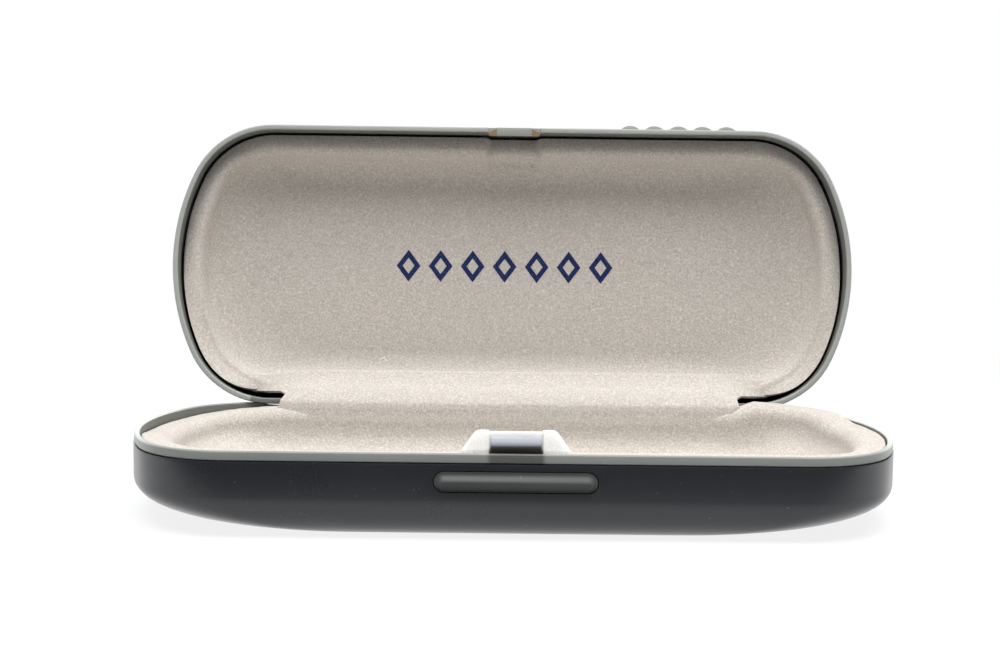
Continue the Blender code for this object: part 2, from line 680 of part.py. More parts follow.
def latch_guide():
    """A channel screwed to the shell's bosses: it guides the plate and backs the return springs."""
    outer = GUIDE_HALF + GUIDE_EAR
    back = GUIDE_BACK_Y
    front = PLATE_FRONT_Y
    inner = GUIDE_HALF - GUIDE_WALL
    plan = [(-outer, GUIDE_FRONT_Y), (-GUIDE_HALF, GUIDE_FRONT_Y), (-GUIDE_HALF, front),
            (-inner, front), (-inner, GUIDE_PLATE_Y), (inner, GUIDE_PLATE_Y), (inner, front),
            (GUIDE_HALF, front), (GUIDE_HALF, GUIDE_FRONT_Y), (outer, GUIDE_FRONT_Y),
            (outer, GUIDE_PLATE_Y), (GUIDE_HALF, GUIDE_PLATE_Y), (GUIDE_HALF, back),
            (-GUIDE_HALF, back), (-GUIDE_HALF, GUIDE_PLATE_Y), (-outer, GUIDE_PLATE_Y)]
    guide = prism("latch_guide", plan, 2, PLATE_BOTTOM, PLATE_TOP)
    for side in (-1, 1):
        spigot = prism(f"spigot_{side}", circle((side * RETURN_OFFSET, BUTTON_Z), SPIGOT_RADIUS, 8), 1,
                       GUIDE_PLATE_Y - RETURN_LENGTH / 3, GUIDE_PLATE_Y + GUIDE_WALL / 2)
        combine(guide, spigot, "UNION")
        hole = prism(f"screw_hole_{side}", circle((side * SCREW_X, BUTTON_Z), SCREW_RADIUS + SEAM), 1,
                     GUIDE_FRONT_Y - GAP, GUIDE_PLATE_Y + GAP)
        combine(guide, hole, "DIFFERENCE")
    finish(guide, "guide")


def latch_screws():
    for side, word in ((-1, "left"), (1, "right")):
        centre = (side * SCREW_X, BUTTON_Z)
        seat = GUIDE_PLATE_Y + SEAM
        screw = prism(f"latch_screw_{word}", circle(centre, SCREW_RADIUS), 1,
                      GUIDE_FRONT_Y - PILOT_DEPTH, seat + GAP)
        head = prism(f"screw_head_{word}", circle(centre, SCREW_HEAD_RADIUS), 1,
                     seat, seat + SCREW_HEAD)
        combine(screw, head, "UNION")
        finish(screw, "steel")


def return_springs(per_turn=10):
    start = PLATE_BACK_Y + SEAM / 2 + RETURN_WIRE
    end = GUIDE_PLATE_Y - SEAM / 2 - RETURN_WIRE
    steps = int(RETURN_TURNS * per_turn)
    for side, word in ((-1, "left"), (1, "right")):
        points = []
        for i in range(steps + 1):
            angle = 2 * math.pi * RETURN_TURNS * i / steps
            points.append((side * RETURN_OFFSET + RETURN_COIL_RADIUS * math.cos(angle),
                           start + (end - start) * i / steps,
                           BUTTON_Z + RETURN_COIL_RADIUS * math.sin(angle)))
        finish(wire(f"return_spring_{word}", points, RETURN_WIRE), "steel")


def catch_plate(lid):
    """The insert let into the lid's front edge that the hook's nose holds down."""
    front = -HALF_DEPTH + SEAM / 2 - AXIS_Y
    clear = -HALF_DEPTH + STRIP_WIDTH + GAP - AXIS_Y
    inner = CATCH_INNER_Y - AXIS_Y
    plan = [(-CATCH_HALF, front), (CATCH_HALF, front), (CATCH_HALF, clear),
            (CATCH_HALF + CATCH_GUSSET, clear), (CATCH_HALF + GAP, inner), (-CATCH_HALF - GAP, inner),
            (-CATCH_HALF - CATCH_GUSSET, clear), (-CATCH_HALF, clear)]
    low = LID_PARTING - AXIS_Z
    finish(prism("catch_plate", plan, 2, low, low + CATCH_THICKNESS, lid), "rim")


# ---------------------------------------------------------------- the case

def build():
    for obj in list(bpy.data.objects):
        bpy.data.objects.remove(obj)
    lid = bpy.data.objects.new("lid_hinge", None)
    bpy.context.scene.collection.objects.link(lid)
    lid.location = (0.0, AXIS_Y, AXIS_Z)
    lid.rotation_euler.x = -math.radians(OPEN_ANGLE)
    slide = bpy.data.objects.new("latch_slide", None)
    bpy.context.scene.collection.objects.link(slide)
    base_shell()
    base_rim()
    base_liner()
    hinge_web()
    lid_shell(lid)
    lid_rim(lid)
    lid_liner(lid)
    catch_plate(lid)
    hinge_hardware()
    push_button(slide)
    latch_hook(slide)
    latch_guide()
    latch_screws()
    return_springs()


build()
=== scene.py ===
"""Hard spectacles case, standing open: its shells, rims, flocked lining, hinge and latch, finished.

Metres, +Z up. The origin is the centre of the flat bottom; X runs along the case and the hinge is at +Y.
"""

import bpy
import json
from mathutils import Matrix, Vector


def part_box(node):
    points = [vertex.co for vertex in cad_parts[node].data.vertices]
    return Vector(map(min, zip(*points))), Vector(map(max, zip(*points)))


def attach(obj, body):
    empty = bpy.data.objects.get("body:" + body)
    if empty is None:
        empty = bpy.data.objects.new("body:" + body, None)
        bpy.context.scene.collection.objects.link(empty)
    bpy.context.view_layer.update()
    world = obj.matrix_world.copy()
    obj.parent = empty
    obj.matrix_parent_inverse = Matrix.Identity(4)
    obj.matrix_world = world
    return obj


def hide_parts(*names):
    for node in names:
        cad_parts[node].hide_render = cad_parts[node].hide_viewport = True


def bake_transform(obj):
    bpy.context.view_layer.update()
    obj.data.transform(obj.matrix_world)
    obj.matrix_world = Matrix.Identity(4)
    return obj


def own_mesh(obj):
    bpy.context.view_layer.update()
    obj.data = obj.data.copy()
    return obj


bl_info = {
    "name": "Hard spectacles case",
    "version": (1, 0, 0),
    "blender": (4, 5, 0),
    "location": "View3D > Sidebar > Spectacles Case",
    "description": "Builds an open spectacles case with rims, flocked lining, hinge and push-bar latch",
    "category": "Add Mesh",
}

import json
import math

import bmesh
import bpy
from bpy.props import FloatProperty, FloatVectorProperty, IntProperty, PointerProperty
from mathutils import Matrix, Vector, noise

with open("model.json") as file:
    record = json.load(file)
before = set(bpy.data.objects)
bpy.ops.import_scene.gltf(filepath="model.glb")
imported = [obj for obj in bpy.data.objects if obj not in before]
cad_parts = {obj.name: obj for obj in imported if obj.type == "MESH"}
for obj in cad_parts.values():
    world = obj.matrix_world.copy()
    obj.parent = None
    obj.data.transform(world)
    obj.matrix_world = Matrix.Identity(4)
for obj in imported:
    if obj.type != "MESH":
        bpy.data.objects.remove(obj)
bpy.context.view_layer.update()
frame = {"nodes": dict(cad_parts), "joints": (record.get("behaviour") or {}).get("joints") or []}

MM = 0.001
HINGE_JOINT = next(joint for joint in frame["joints"] if joint["type"] == "hinge")
AXIS = Vector(HINGE_JOINT["pos_m"])
RIM_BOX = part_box("base_rim")
SHELL_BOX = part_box("base_shell")

# How finely the outline and the turned walls are divided
SIDE_STEPS = 12
CORNER_STEPS = 16
STRAIGHT_STEPS = 8
CURVE_STEPS = 14
FILLET_STEPS = 6
CENTRE_HALF = 14 * MM
SMOOTH_ANGLE = math.radians(32)
SOFT_ANGLE = math.radians(60)

# The rims' dark lip: the straight part of the outline, and how far the lip shows beside the hinge
LIP_STRAIGHT = 50 * MM
LIP_HINGE = 61 * MM

# Small pieces of the hinge and the latch: rail, screw bosses, the bar's pegs and the hook's plate
RAIL_HALF = 49 * MM
BOSS_RADIUS = 1.9 * MM
PEG_OFFSET = 12 * MM
PEG_RADIUS = 0.9 * MM
PLATE = 1.4 * MM

# The printed row of lozenges
LOZENGES = 7
LOZENGE_FIRST = -25.2 * MM
LOZENGE_PITCH = 7.8 * MM
LOZENGE_HALF = (2.9 * MM, 3.9 * MM)
LOZENGE_OFFSET = -1.0 * MM
INK_LAYER = 0.04 * MM

# The stage: one soft lamp and the camera
LAMP_PLACE = (0.04, -0.155, 0.74)
LAMP_TARGET = (0.0, 0.0, 0.03)
LAMP_SIZE = (0.9, 0.5)
LAMP_POWER = 10.4
CAMERA_PLACE = (-6.12 * MM, -325.19 * MM, 70.35 * MM)
CAMERA_YAW, CAMERA_PITCH, CAMERA_ROLL = 0.0091, 0.1011, 0.0129
CAMERA_LENS = 55.18


# ---------------------------------------------------------------- sizes and colours

def length(name, description, default_mm):
    """A size in millimetres, kept in metres."""
    return FloatProperty(name=name, description=description, default=default_mm * MM, unit="LENGTH",
                         subtype="DISTANCE", precision=5)


def colour(name, description, default):
    return FloatVectorProperty(name=name, description=description, default=default, size=3,
                               subtype="COLOR", min=0.0, max=1.0)


class CaseOutline(bpy.types.PropertyGroup):
    """The plan of the case and the curves of its shells."""
    half_length: FloatProperty(name="Half length", description="Half the rim's length", unit="LENGTH",
                               subtype="DISTANCE", default=RIM_BOX[1].x)
    half_depth: FloatProperty(name="Half depth", description="Half the rim's depth", unit="LENGTH",
                              subtype="DISTANCE", default=RIM_BOX[1].y)
    side_radius: length("End radius", "Radius of the round ends", 50.3)
    corner_radius: length("Corner radius", "Radius of the softer corners", 20.3)
    height: length("Shell height", "Height of each half, flat to rim", 17.2)
    upright: length("Upright wall", "Height of the wall above its turn", 9.0)
    end_sweep: length("End sweep", "How far the ends draw in at the flat", 31.3)
    side_sweep: length("Side sweep", "How far front and back draw in at the flat", 8.0)
    corner_growth: FloatProperty(name="Corner growth", description="Side sweep's share added to corners",
                                 default=0.5, min=0.0, max=1.0)
    proud: length("Shell proud", "How far a shell stands out past its rim", 0.15)
    base_floor: length("Base floor", "Thickness of the base's bottom", 2.2)
    lid_top: length("Lid top", "Thickness of the lid's top", 1.5)


class CaseRim(bpy.types.PropertyGroup):
    """The rim frames."""
    width: length("Strip width", "Width of the rim's strip", 1.2)
    height: length("Strip height", "Height of the rim's strip", 1.8)
    edge: length("Edge radius", "Rounding of the strip's edges", 0.3)
    skirt_wall: length("Skirt wall", "Thickness of the skirt inside the shell", 0.45)
    base_skirt: length("Base skirt", "Depth of the base rim's skirt", 0.8)
    lid_skirt: length("Lid skirt", "Depth of the lid rim's skirt", 2.5)
    seam: length("Seam", "Gap between rim and shell", 0.2)
    parting: length("Parting gap", "Gap between the rims when shut", 0.25)
    relief: length("Rear relief", "How much the base rim is lowered at the hinge", 0.85)


class CaseLining(bpy.types.PropertyGroup):
    """The flocked lining."""
    sheet: length("Sheet", "Thickness of the flocked sheet", 1.2)
    base_drop: length("Base flange drop", "Flange below the base's rim", 0.45)
    base_flange: length("Base flange", "Inset of the base's hollow", 8.1)
    lid_drop: length("Lid flange drop", "Flange below the lid's rim", 5.2)
    lid_flange: length("Lid flange", "Inset of the lid's hollow", 6.5)
    lid_air: length("Lid air", "Space between the lid and its lining", 1.8)
    base_fillet: length("Base fillet", "Rounding from flange to hollow in the base", 3.0)
    lid_fillet: length("Lid fillet", "Rounding from flange to hollow in the lid", 1.9)
    lid_roll: length("Lid roll", "How far the lid's flange swells towards its hollow", 1.0)
    lid_lift: length("Lid lift", "How far the lid's flange rises at its ends by the hinge", 2.3)
    back_shift: length("Back shift", "How far the base's hollow reaches back under the fold", 3.0)
    ear_top: length("Ear height", "Height of the ear above the rim", 4.0)
    ear_half_top: length("Ear half top", "Half width of the ear's top", 7.3)
    ear_half_foot: length("Ear half foot", "Half width of the ear's foot", 11.6)
    recess_half: length("Recess half", "Half width of the hook's recess in the lid", 6.15)
    recess_depth: length("Recess depth", "Depth of the hook's recess", 2.6)
    fold_half: length("Fold half", "Half width of the fold over the hinge", 52.8)
    fold_wing: length("Fold wing", "How far the fold runs out along the lid's flange", 10.0)
    fold_slit: length("Fold slit", "How far the lid's lining draws back from its rim beside the fold", 2.0)


class CaseLatch(bpy.types.PropertyGroup):
    """The push bar, its hook and the catch."""
    bar_half: length("Bar half", "Half the push bar's length", 15.8)
    bar_height: length("Bar height", "Height of the push bar", 3.7)
    bar_drop: length("Bar drop", "Top of the push bar below the rim", 3.6)
    bar_proud: length("Bar proud", "How far the push bar stands out", 1.0)
    bar_slope: length("Bar slope", "Height of the push bar's sloped upper edge", 2.1)
    bar_edge: length("Bar edge", "Rounding of the push bar's lower edge", 0.75)
    gap: length("Running gap", "Gap between moving pieces", 0.3)
    travel: length("Travel", "How far the latch slides in", 1.2)
    spring_wire: length("Return spring wire", "Radius of the return springs' wire", 0.15)
    hook_half: length("Hook half", "Half the hook's width", 5.0)
    hook_top: length("Hook top", "Hook's top above the rim", 2.8)
    catch_half: length("Catch half", "Half the catch's width, with its gussets", 6.05)
    catch_block: length("Catch block", "Half the width of the catch's block", 4.15)


class CaseHinge(bpy.types.PropertyGroup):
    """The knuckles, pins and springs."""
    knuckle: length("Knuckle radius", "Radius of the hinge's knuckles", 1.3)
    pin: length("Pin radius", "Radius of the pins", 0.5)
    clearance: length("Pin clearance", "Gap round a pin", 0.15)
    wire: length("Spring wire", "Radius of the spring's wire", 0.18)
    coil: length("Coil radius", "Radius of the spring's coil", 0.9)
    step: length("Knuckle length", "Length of one knuckle", 4.0)
    turns: FloatProperty(name="Turns", description="Turns of the hinge spring", default=3.25, min=1.0)


class CaseRibs(bpy.types.PropertyGroup):
    """The grip ribs on the lid's front edge."""
    count: IntProperty(name="Ribs", description="How many grip ribs", default=5, min=1)
    first: length("First rib", "Middle of the first rib", 27.7)
    pitch: length("Pitch", "Rib to rib", 5.75)
    width: length("Width", "Width of a rib", 4.9)
    rise: length("Rise", "How far a rib stands out", 1.25)
    start: length("Start", "Rim edge to the rib's end", 2.0)
    size: length("Length", "Length of a rib", 6.0)


class CaseColours(bpy.types.PropertyGroup):
    """The colours of the finishes."""
    shell: colour("Shell", "Moulded shells", (0.018, 0.020, 0.025))
    rib: colour("Ribs", "Grip ribs", (0.21, 0.218, 0.205))
    rim: colour("Lid rim", "Lid's rim frame", (0.33, 0.345, 0.325))
    # Painted shade: the base rim is the lid rim's plastic in a darker copy, for the weaker light on its
    # upright front
    base_rim: colour("Base rim", "Base's rim frame", (0.235, 0.25, 0.235))
    bar: colour("Push bar", "Push bar", (0.055, 0.058, 0.056))
    hook: colour("Hook", "Hook's top", (0.30, 0.315, 0.355))
    # Painted shade: the hook's nose and stem below its lip take this dark colour for the shadow under the
    # lip
    nose: colour("Hook nose", "Hook's nose", (0.10, 0.095, 0.08))
    lip: colour("Lip", "Inner face of the rims", (0.15, 0.15, 0.138))
    gusset: colour("Gussets", "Gussets beside the catch", (0.20, 0.14, 0.075))
    # Painted highlight: on the ear this pale colour stands in for the strong light on its top and on the
    # wall above the hook; the lint takes it as its own pale fibre colour
    ear: colour("Ear", "Worn pale flock of the ear", (0.95, 0.935, 0.90))
    catch: colour("Catch", "Catch in the lid's edge", (0.26, 0.265, 0.245))
    flock: colour("Flock", "Flocked lining", (0.60, 0.556, 0.506))
    ink: colour("Ornament", "Printed ornament", (0.008, 0.018, 0.085))
    steel: colour("Steel", "Pins, screws and springs", (0.56, 0.57, 0.59))
    guide: colour("Guide", "Latch guide", (0.10, 0.10, 0.11))
    floor: colour("Floor", "Floor", (0.93, 0.95, 0.96))


GROUPS = {
    "case_outline": CaseOutline,
    "case_rim": CaseRim,
    "case_lining": CaseLining,
    "case_latch": CaseLatch,
    "case_hinge": CaseHinge,
    "case_ribs": CaseRibs,
    "case_colours": CaseColours,
}


# ---------------------------------------------------------------- material maths

class Value:
    """One output of a node; arithmetic on it adds Math nodes."""

    def __init__(self, tree, socket):
        self.tree = tree
        self.socket = socket

    def __getitem__(self, name):
        """Another output of the same node."""
        return Value(self.tree, self.socket.node.outputs[name])

    def maths(self, operation, *values):
        return self.tree.add("ShaderNodeMath", {"operation": operation}, dict(enumerate(values)))

    def __add__(self, other):
        return self.maths("ADD", self, other)

    def __sub__(self, other):
        return self.maths("SUBTRACT", self, other)

    def __rsub__(self, other):
        return self.maths("SUBTRACT", other, self)

    def __mul__(self, other):
        return self.maths("MULTIPLY", self, other)

    __radd__ = __add__
    __rmul__ = __mul__

    def __abs__(self):
        return self.maths("ABSOLUTE", self)

    def clamp(self, low, high):
        """Carry low..high of this value to 0..1, smoothly and without going past."""
        return self.tree.add("ShaderNodeMapRange", {"interpolation_type": "SMOOTHSTEP"},
                             {"Value": self, "From Min": low, "From Max": high})


class Tree:
    """A node tree under construction."""

    def __init__(self, tree):
        self.nodes = tree.nodes
        self.links = tree.links
        self.nodes.clear()

    def add(self, kind, settings=None, inputs=None, output=0):
        """Add any node: its settings first, then values or links of its sockets by name or number."""
        node = self.nodes.new(kind)
        for key, setting in (settings or {}).items():
            if key == "ramp":
                for element, (position, tone) in zip(node.color_ramp.elements, setting):
                    element.position, element.color = position, tone
            else:
                setattr(node, key, setting)
        for key, value in (inputs or {}).items():
            self.feed(node.inputs[key], value)
        return Value(self, node.outputs[output]) if node.outputs else None

    def feed(self, socket, value):
        if isinstance(value, Value):
            self.links.new(value.socket, socket)
        else:
            socket.default_value = value


class Recipe(Tree):
    """A material under construction."""

    def __init__(self, name):
        self.material = bpy.data.materials.new(name)
        self.material.use_nodes = True
        super().__init__(self.material.node_tree)

    def place(self, scale=(1.0, 1.0, 1.0), turn=(0.0, 0.0, 0.0)):
        """Object coordinates, scaled and turned."""
        coordinates = self.add("ShaderNodeTexCoord", output="Object")
        return self.add("ShaderNodeMapping", {}, {"Vector": coordinates, "Scale": scale, "Rotation": turn})

    def noise(self, scale, detail=2.0, roughness=0.5, place=None):
        """Noise about 0.5, with a size given in repeats a metre."""
        return self.add("ShaderNodeTexNoise", {}, {
            "Vector": place or self.place(), "Scale": scale, "Detail": detail, "Roughness": roughness})

    def mix(self, share, first, second):
        """Mix two colours by a share."""
        return self.add("ShaderNodeMix", {"data_type": "RGBA"}, {0: share, 6: first, 7: second}, 2)

    def axis(self, number):
        coordinates = self.add("ShaderNodeTexCoord", output="Object")
        return self.add("ShaderNodeSeparateXYZ", {}, {0: coordinates}, number)

    def bump(self, height, distance, strength=1.0):
        return self.add("ShaderNodeBump", {}, {"Height": height, "Distance": distance, "Strength": strength})

    def surface(self, inputs):
        return self.finish(self.add("ShaderNodeBsdfPrincipled", {}, inputs))

    def finish(self, shader):
        self.add("ShaderNodeOutputMaterial", {}, {"Surface": shader})
        return self.material


def shade(rgb, factor=1.0):
    """A colour as four numbers, lightened or darkened."""
    return tuple(min(channel * factor, 1.0) for channel in rgb) + (1.0,)


def flock(name, rgb, pale=None, pale_half=0.0, pale_front=0.0, pale_foot=0.0):
    """Short flock: fine fibre grain with warm and cool specks, soft pile clouds and a fuzzy sheen.

    A pale colour, if given, is a painted highlight: it takes over in front of pale_front, above pale_foot
    and within pale_half.
    """
    recipe = Recipe(name)
    grain = recipe.noise(2300, 3, 0.65)
    speck = recipe.noise(1500, 2, 0.6, recipe.place(turn=(0.5, 0.9, 0.2)))
    pile = recipe.noise(420, 2, 0.5)
    cloud = recipe.noise(38, 3, 0.5)
    cool, warm = (shade([part * change for part, change in zip(rgb, changes)])
                  for changes in ((0.97, 1.02, 1.0), (1.04, 0.98, 1.0)))
    tint = recipe.mix(speck.clamp(0.35, 0.65), cool, warm)
    dark = recipe.mix(grain.clamp(0.3, 0.7), shade(rgb, 0.66), tint)
    light = recipe.mix((speck + grain).clamp(1.08, 1.3) * 0.4, dark, shade(rgb, 1.3))
    body = recipe.mix(cloud.clamp(0.25, 0.75) * 0.10, light, shade(rgb, 0.80))
    body = recipe.mix(pile.clamp(0.3, 0.7) * 0.10, body, shade(rgb, 1.12))
    if pale:
        # Painted highlight: the pale colour lightens the ear and the wall above the hook
        across = 1 - abs(recipe.axis(0)).clamp(pale_half - 0.5 * MM, pale_half + 1.2 * MM)
        near = 1 - recipe.axis(1).clamp(pale_front - 0.5 * MM, pale_front + 0.8 * MM)
        above = recipe.axis(2).clamp(pale_foot - 0.4 * MM, pale_foot + 0.6 * MM)
        painted_lit_ear = recipe.mix(grain, shade(pale, 0.95), shade(pale))
        body = recipe.mix(across * near * above * 0.9, body, painted_lit_ear)
    height = grain * 0.6 + speck * 0.3 + pile * 0.5
    return recipe.surface({
        "Base Color": body, "Roughness": 0.95, "Specular IOR Level": 0.15, "Sheen Weight": 0.22,
        "Sheen Roughness": 0.55, "Normal": recipe.bump(height, 0.00016, 0.75)})


def moulded(name, rgb, roughness, coat=0.0, shine=0.5, marks=None):
    """Moulded plastic: spark-eroded grain, slow gloss changes, faint rubs and a little settled dust.

    Marks, if given, are a function that takes the recipe and its colour and returns the colour with painted
    shade or painted highlights added.
    """
    recipe = Recipe(name)
    skin = recipe.noise(5200, 2, 0.5)
    slow = recipe.noise(26, 3, 0.55)
    rub = recipe.noise(210, 4, 0.7, recipe.place(scale=(0.35, 1.0, 1.6), turn=(0.0, 0.12, 0.3)))
    dust = recipe.noise(1150, 2, 0.5, recipe.place(turn=(0.3, 0.2, 0.6)))
    rubbed = rub.clamp(0.58, 0.78) * slow.clamp(0.4, 0.62)
    body = recipe.mix(slow.clamp(0.3, 0.7), shade(rgb, 0.94), shade(rgb, 1.06))
    body = recipe.mix(rubbed * 0.12, body, shade([channel * 1.25 + 0.03 for channel in rgb]))
    body = recipe.mix(dust.clamp(0.71, 0.78) * 0.18, body, shade((0.45, 0.44, 0.42)))
    gloss = slow.clamp(0.25, 0.75) * 0.07 + skin * 0.05 + rubbed * 0.10 + (roughness - 0.07)
    return recipe.surface({
        "Base Color": marks(recipe, body) if marks else body, "Roughness": gloss,
        "Specular IOR Level": shine, "Coat Weight": coat, "Coat Roughness": 0.22,
        "Normal": recipe.bump(skin * 0.7 + rub * 0.3, 0.000006, 0.6)})


def rim_painted_shadow_and_highlight(scene, recipe, body):
    """Painted shadow of the hook on the front of the rim, and painted highlights at the rim's round ends."""
    size, rgb, hook_half = scene.case_outline, scene.case_colours.base_rim, scene.case_latch.hook_half
    side = abs(recipe.axis(0))
    front = 1 - recipe.axis(1).clamp(-size.half_depth + 2.9 * MM, -size.half_depth + 4.9 * MM)
    hook_shadow_share = 1 - side.clamp(hook_half - 0.2 * MM, hook_half + 1.0 * MM)
    # Painted shadow: the front of the rim is darkened in front of the hook
    body = recipe.mix(hook_shadow_share * front * 0.85, body, shade(rgb, 0.32))
    # Painted highlight: the rim's round ends are lightened
    return recipe.mix(side.clamp(size.half_length - 10 * MM, size.half_length) * 0.75, body, shade(rgb, 2.6))


def bar_painted_underside_shade(scene, recipe, body):
    """Painted shade: a darker lower edge on the push bar, standing in for the shade under its rounded edge.
    """
    foot = bar_middle(scene) - scene.case_latch.bar_height / 2
    # Painted shade along the bar's lower edge
    share = 1 - recipe.axis(2).clamp(foot + 0.1 * MM, foot + 1.5 * MM)
    return recipe.mix(share, body, shade(scene.case_colours.bar, 0.35))


def hook_painted_shade_finish(scene, name, foot, crown, back):
    """The hook: matt, with painted shade dark at its foot and paler up its nose, and a painted highlight
    palest at the back of its crown.
    """
    top = scene.case_colours.hook
    recipe = Recipe(name)
    skin = recipe.noise(4200, 2, 0.5)
    slow = recipe.noise(160, 3, 0.5)
    # Painted highlight: the back of the crown is lightened against the shade of the ear's pocket
    pale = recipe.mix(recipe.axis(1).clamp(back - 1.8 * MM, back - 0.2 * MM), shade(top), shade(top, 1.35))
    # Painted shade: the colour darkens from the crown down to the nose colour at the foot
    body = recipe.mix(recipe.axis(2).clamp(foot, crown), shade(scene.case_colours.nose), pale)
    body = recipe.mix(slow.clamp(0.3, 0.7) * 0.12, body, shade(top, 0.7))
    return recipe.surface({
        "Base Color": body, "Roughness": 0.52 + slow * 0.1, "Specular IOR Level": 0.25,
        "Normal": recipe.bump(skin, 0.000005, 0.5)})


def steel(name, rgb):
    """Drawn steel: fine marks along the piece and a slightly uneven gloss."""
    recipe = Recipe(name)
    drawn = recipe.noise(900, 3, 0.6, recipe.place(scale=(0.08, 1.0, 1.0)))
    slow = recipe.noise(130, 2, 0.5)
    body = recipe.mix(slow.clamp(0.3, 0.7), shade(rgb, 0.88), shade(rgb, 1.06))
    return recipe.surface({
        "Base Color": body, "Metallic": 1.0, "Roughness": 0.24 + drawn * 0.18,
        "Normal": recipe.bump(drawn, 0.000004, 0.5)})


def ink(name, rgb):
    """Ink printed on flock: the fibres break it up at a fine scale."""
    recipe = Recipe(name)
    grain = recipe.noise(2300, 3, 0.65)
    body = recipe.mix(grain.clamp(0.45, 0.8) * 0.45, shade(rgb), shade((0.10, 0.12, 0.24)))
    return recipe.surface({
        "Base Color": body, "Roughness": 0.85, "Specular IOR Level": 0.2,
        "Normal": recipe.bump(grain, 0.00012, 0.6)})


# ---------------------------------------------------------------- mesh helpers

def new_piece(name, points, faces):
    """A mesh object at the origin with merged points and faces turned outwards."""
    mesh = bpy.data.meshes.new(name)
    mesh.from_pydata([tuple(point) for point in points], [], faces)
    shape = bmesh.new()
    shape.from_mesh(mesh)
    bmesh.ops.remove_doubles(shape, verts=shape.verts, dist=1e-7)
    bmesh.ops.recalc_face_normals(shape, faces=shape.faces)
    shape.to_mesh(mesh)
    shape.free()
    piece = bpy.data.objects.new(name, mesh)
    bpy.context.scene.collection.objects.link(piece)
    return piece


def loft(name, rings, hoop=False):
    """Join rings of equally many points, capped at both ends or closed into a hoop."""
    count = len(rings[0])
    points = [point for ring in rings for point in ring]
    faces = []
    for tier in range(len(rings) if hoop else len(rings) - 1):
        low = tier * count
        high = (tier + 1) % len(rings) * count
        for i in range(count):
            j = (i + 1) % count
            faces.append((low + i, low + j, high + j, high + i))
    if not hoop:
        faces.append(tuple(range(count)))
        faces.append(tuple((len(rings) - 1) * count + i for i in range(count)))
    return new_piece(name, points, faces)


def prism(name, profile, axis, start, end):
    """Extrude a profile along X, Y or Z; its points hold the other two coordinates in order."""
    rings = []
    for at in (start, end):
        ring = []
        for first, second in profile:
            point = [first, second]
            point.insert(axis, at)
            ring.append(Vector(point))
        rings.append(ring)
    return loft(name, rings)


def block(name, low, high):
    corners = [(low[1], low[2]), (high[1], low[2]), (high[1], high[2]), (low[1], high[2])]
    return prism(name, corners, 0, low[0], high[0])


def circle(centre, radius, sides=28):
    return [(centre[0] + radius * math.cos(2 * math.pi * i / sides),
             centre[1] + radius * math.sin(2 * math.pi * i / sides)) for i in range(sides)]


def stadium(half_length, height, centre_z, sides=14):
    """A bar with full round ends, in X and Z."""
    radius = height / 2
    points = []
    for side in (1, -1):
        for i in range(sides + 1):
            angle = math.radians(-90 + 180 * i / sides)
            x = side * (half_length - radius + radius * math.cos(angle))
            points.append((x, centre_z + side * radius * math.sin(angle)))
    return points


def settle(piece):
    """Turn a piece's live modifiers into its mesh and drop them."""
    graph = bpy.context.evaluated_depsgraph_get()
    plain = bpy.data.meshes.new_from_object(piece.evaluated_get(graph), depsgraph=graph)
    piece.modifiers.clear()
    piece.data = plain
    return piece


def carve(piece, tools, operation="DIFFERENCE"):
    """Cut pieces away from another, or join them to it, and remove the tools."""
    for tool in tools:
        modifier = piece.modifiers.new(tool.name, "BOOLEAN")
        modifier.operation = operation
        modifier.solver = "EXACT"
        modifier.object = tool
    settle(piece)
    for tool in tools:
        bpy.data.objects.remove(tool)
    return piece


def soften(piece, width, segments=3, angle=40):
    """Round a piece's sharp edges."""
    modifier = piece.modifiers.new("Soft edges", "BEVEL")
    modifier.width = width
    modifier.segments = segments
    modifier.limit_method = "ANGLE"
    modifier.angle_limit = math.radians(angle)
    modifier.harden_normals = False
    return settle(piece)


def smooth(piece, angle=SMOOTH_ANGLE):
    piece.data.shade_smooth()
    piece.data.set_sharp_from_angle(angle=angle)
    return piece


def dress(piece, material):
    piece.data.materials.clear()
    piece.data.materials.append(material)
    return piece


def hand_over(piece, body, nodes=()):
    """Ride on a body and stand for CAD nodes, which are hidden."""
    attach(piece, body)
    if nodes:
        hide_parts(*nodes)
    return piece


# ---------------------------------------------------------------- repeats and sweeps

class Growth(Tree):
    """A geometry tree under construction, with a geometry input and output and its named inputs."""

    def __init__(self, name, inputs):
        self.group = bpy.data.node_groups.new(name, "GeometryNodeTree")
        super().__init__(self.group)
        labels = [("Geometry", "INPUT", "NodeSocketGeometry"), ("Geometry", "OUTPUT", "NodeSocketGeometry")]
        labels += [(label, "INPUT", "NodeSocket" + kind) for label, kind in inputs]
        for label, way, kind in labels + [("Finish", "INPUT", "NodeSocketMaterial")]:
            self.group.interface.new_socket(label, in_out=way, socket_type=kind)
        self.given = self.add("NodeGroupInput")

    def finish(self, shape):
        """Make the shape plain, dress it and put it out."""
        whole = self.add("GeometryNodeRealizeInstances", {}, {0: shape})
        dressed = self.add("GeometryNodeSetMaterial", {}, {
            "Geometry": whole, "Material": self.given["Finish"]})
        self.add("NodeGroupOutput", {}, {0: dressed})
        return self.group


def grow(piece, tree, values):
    """Run a geometry tree on a piece, with its inputs set by identifier, and keep the plain mesh."""
    modifier = piece.modifiers.new(tree.name, "NODES")
    modifier.node_group = tree
    for item in tree.interface.items_tree:
        if item.in_out == "INPUT" and item.name in values:
            modifier[item.identifier] = values[item.name]
    return settle(piece)


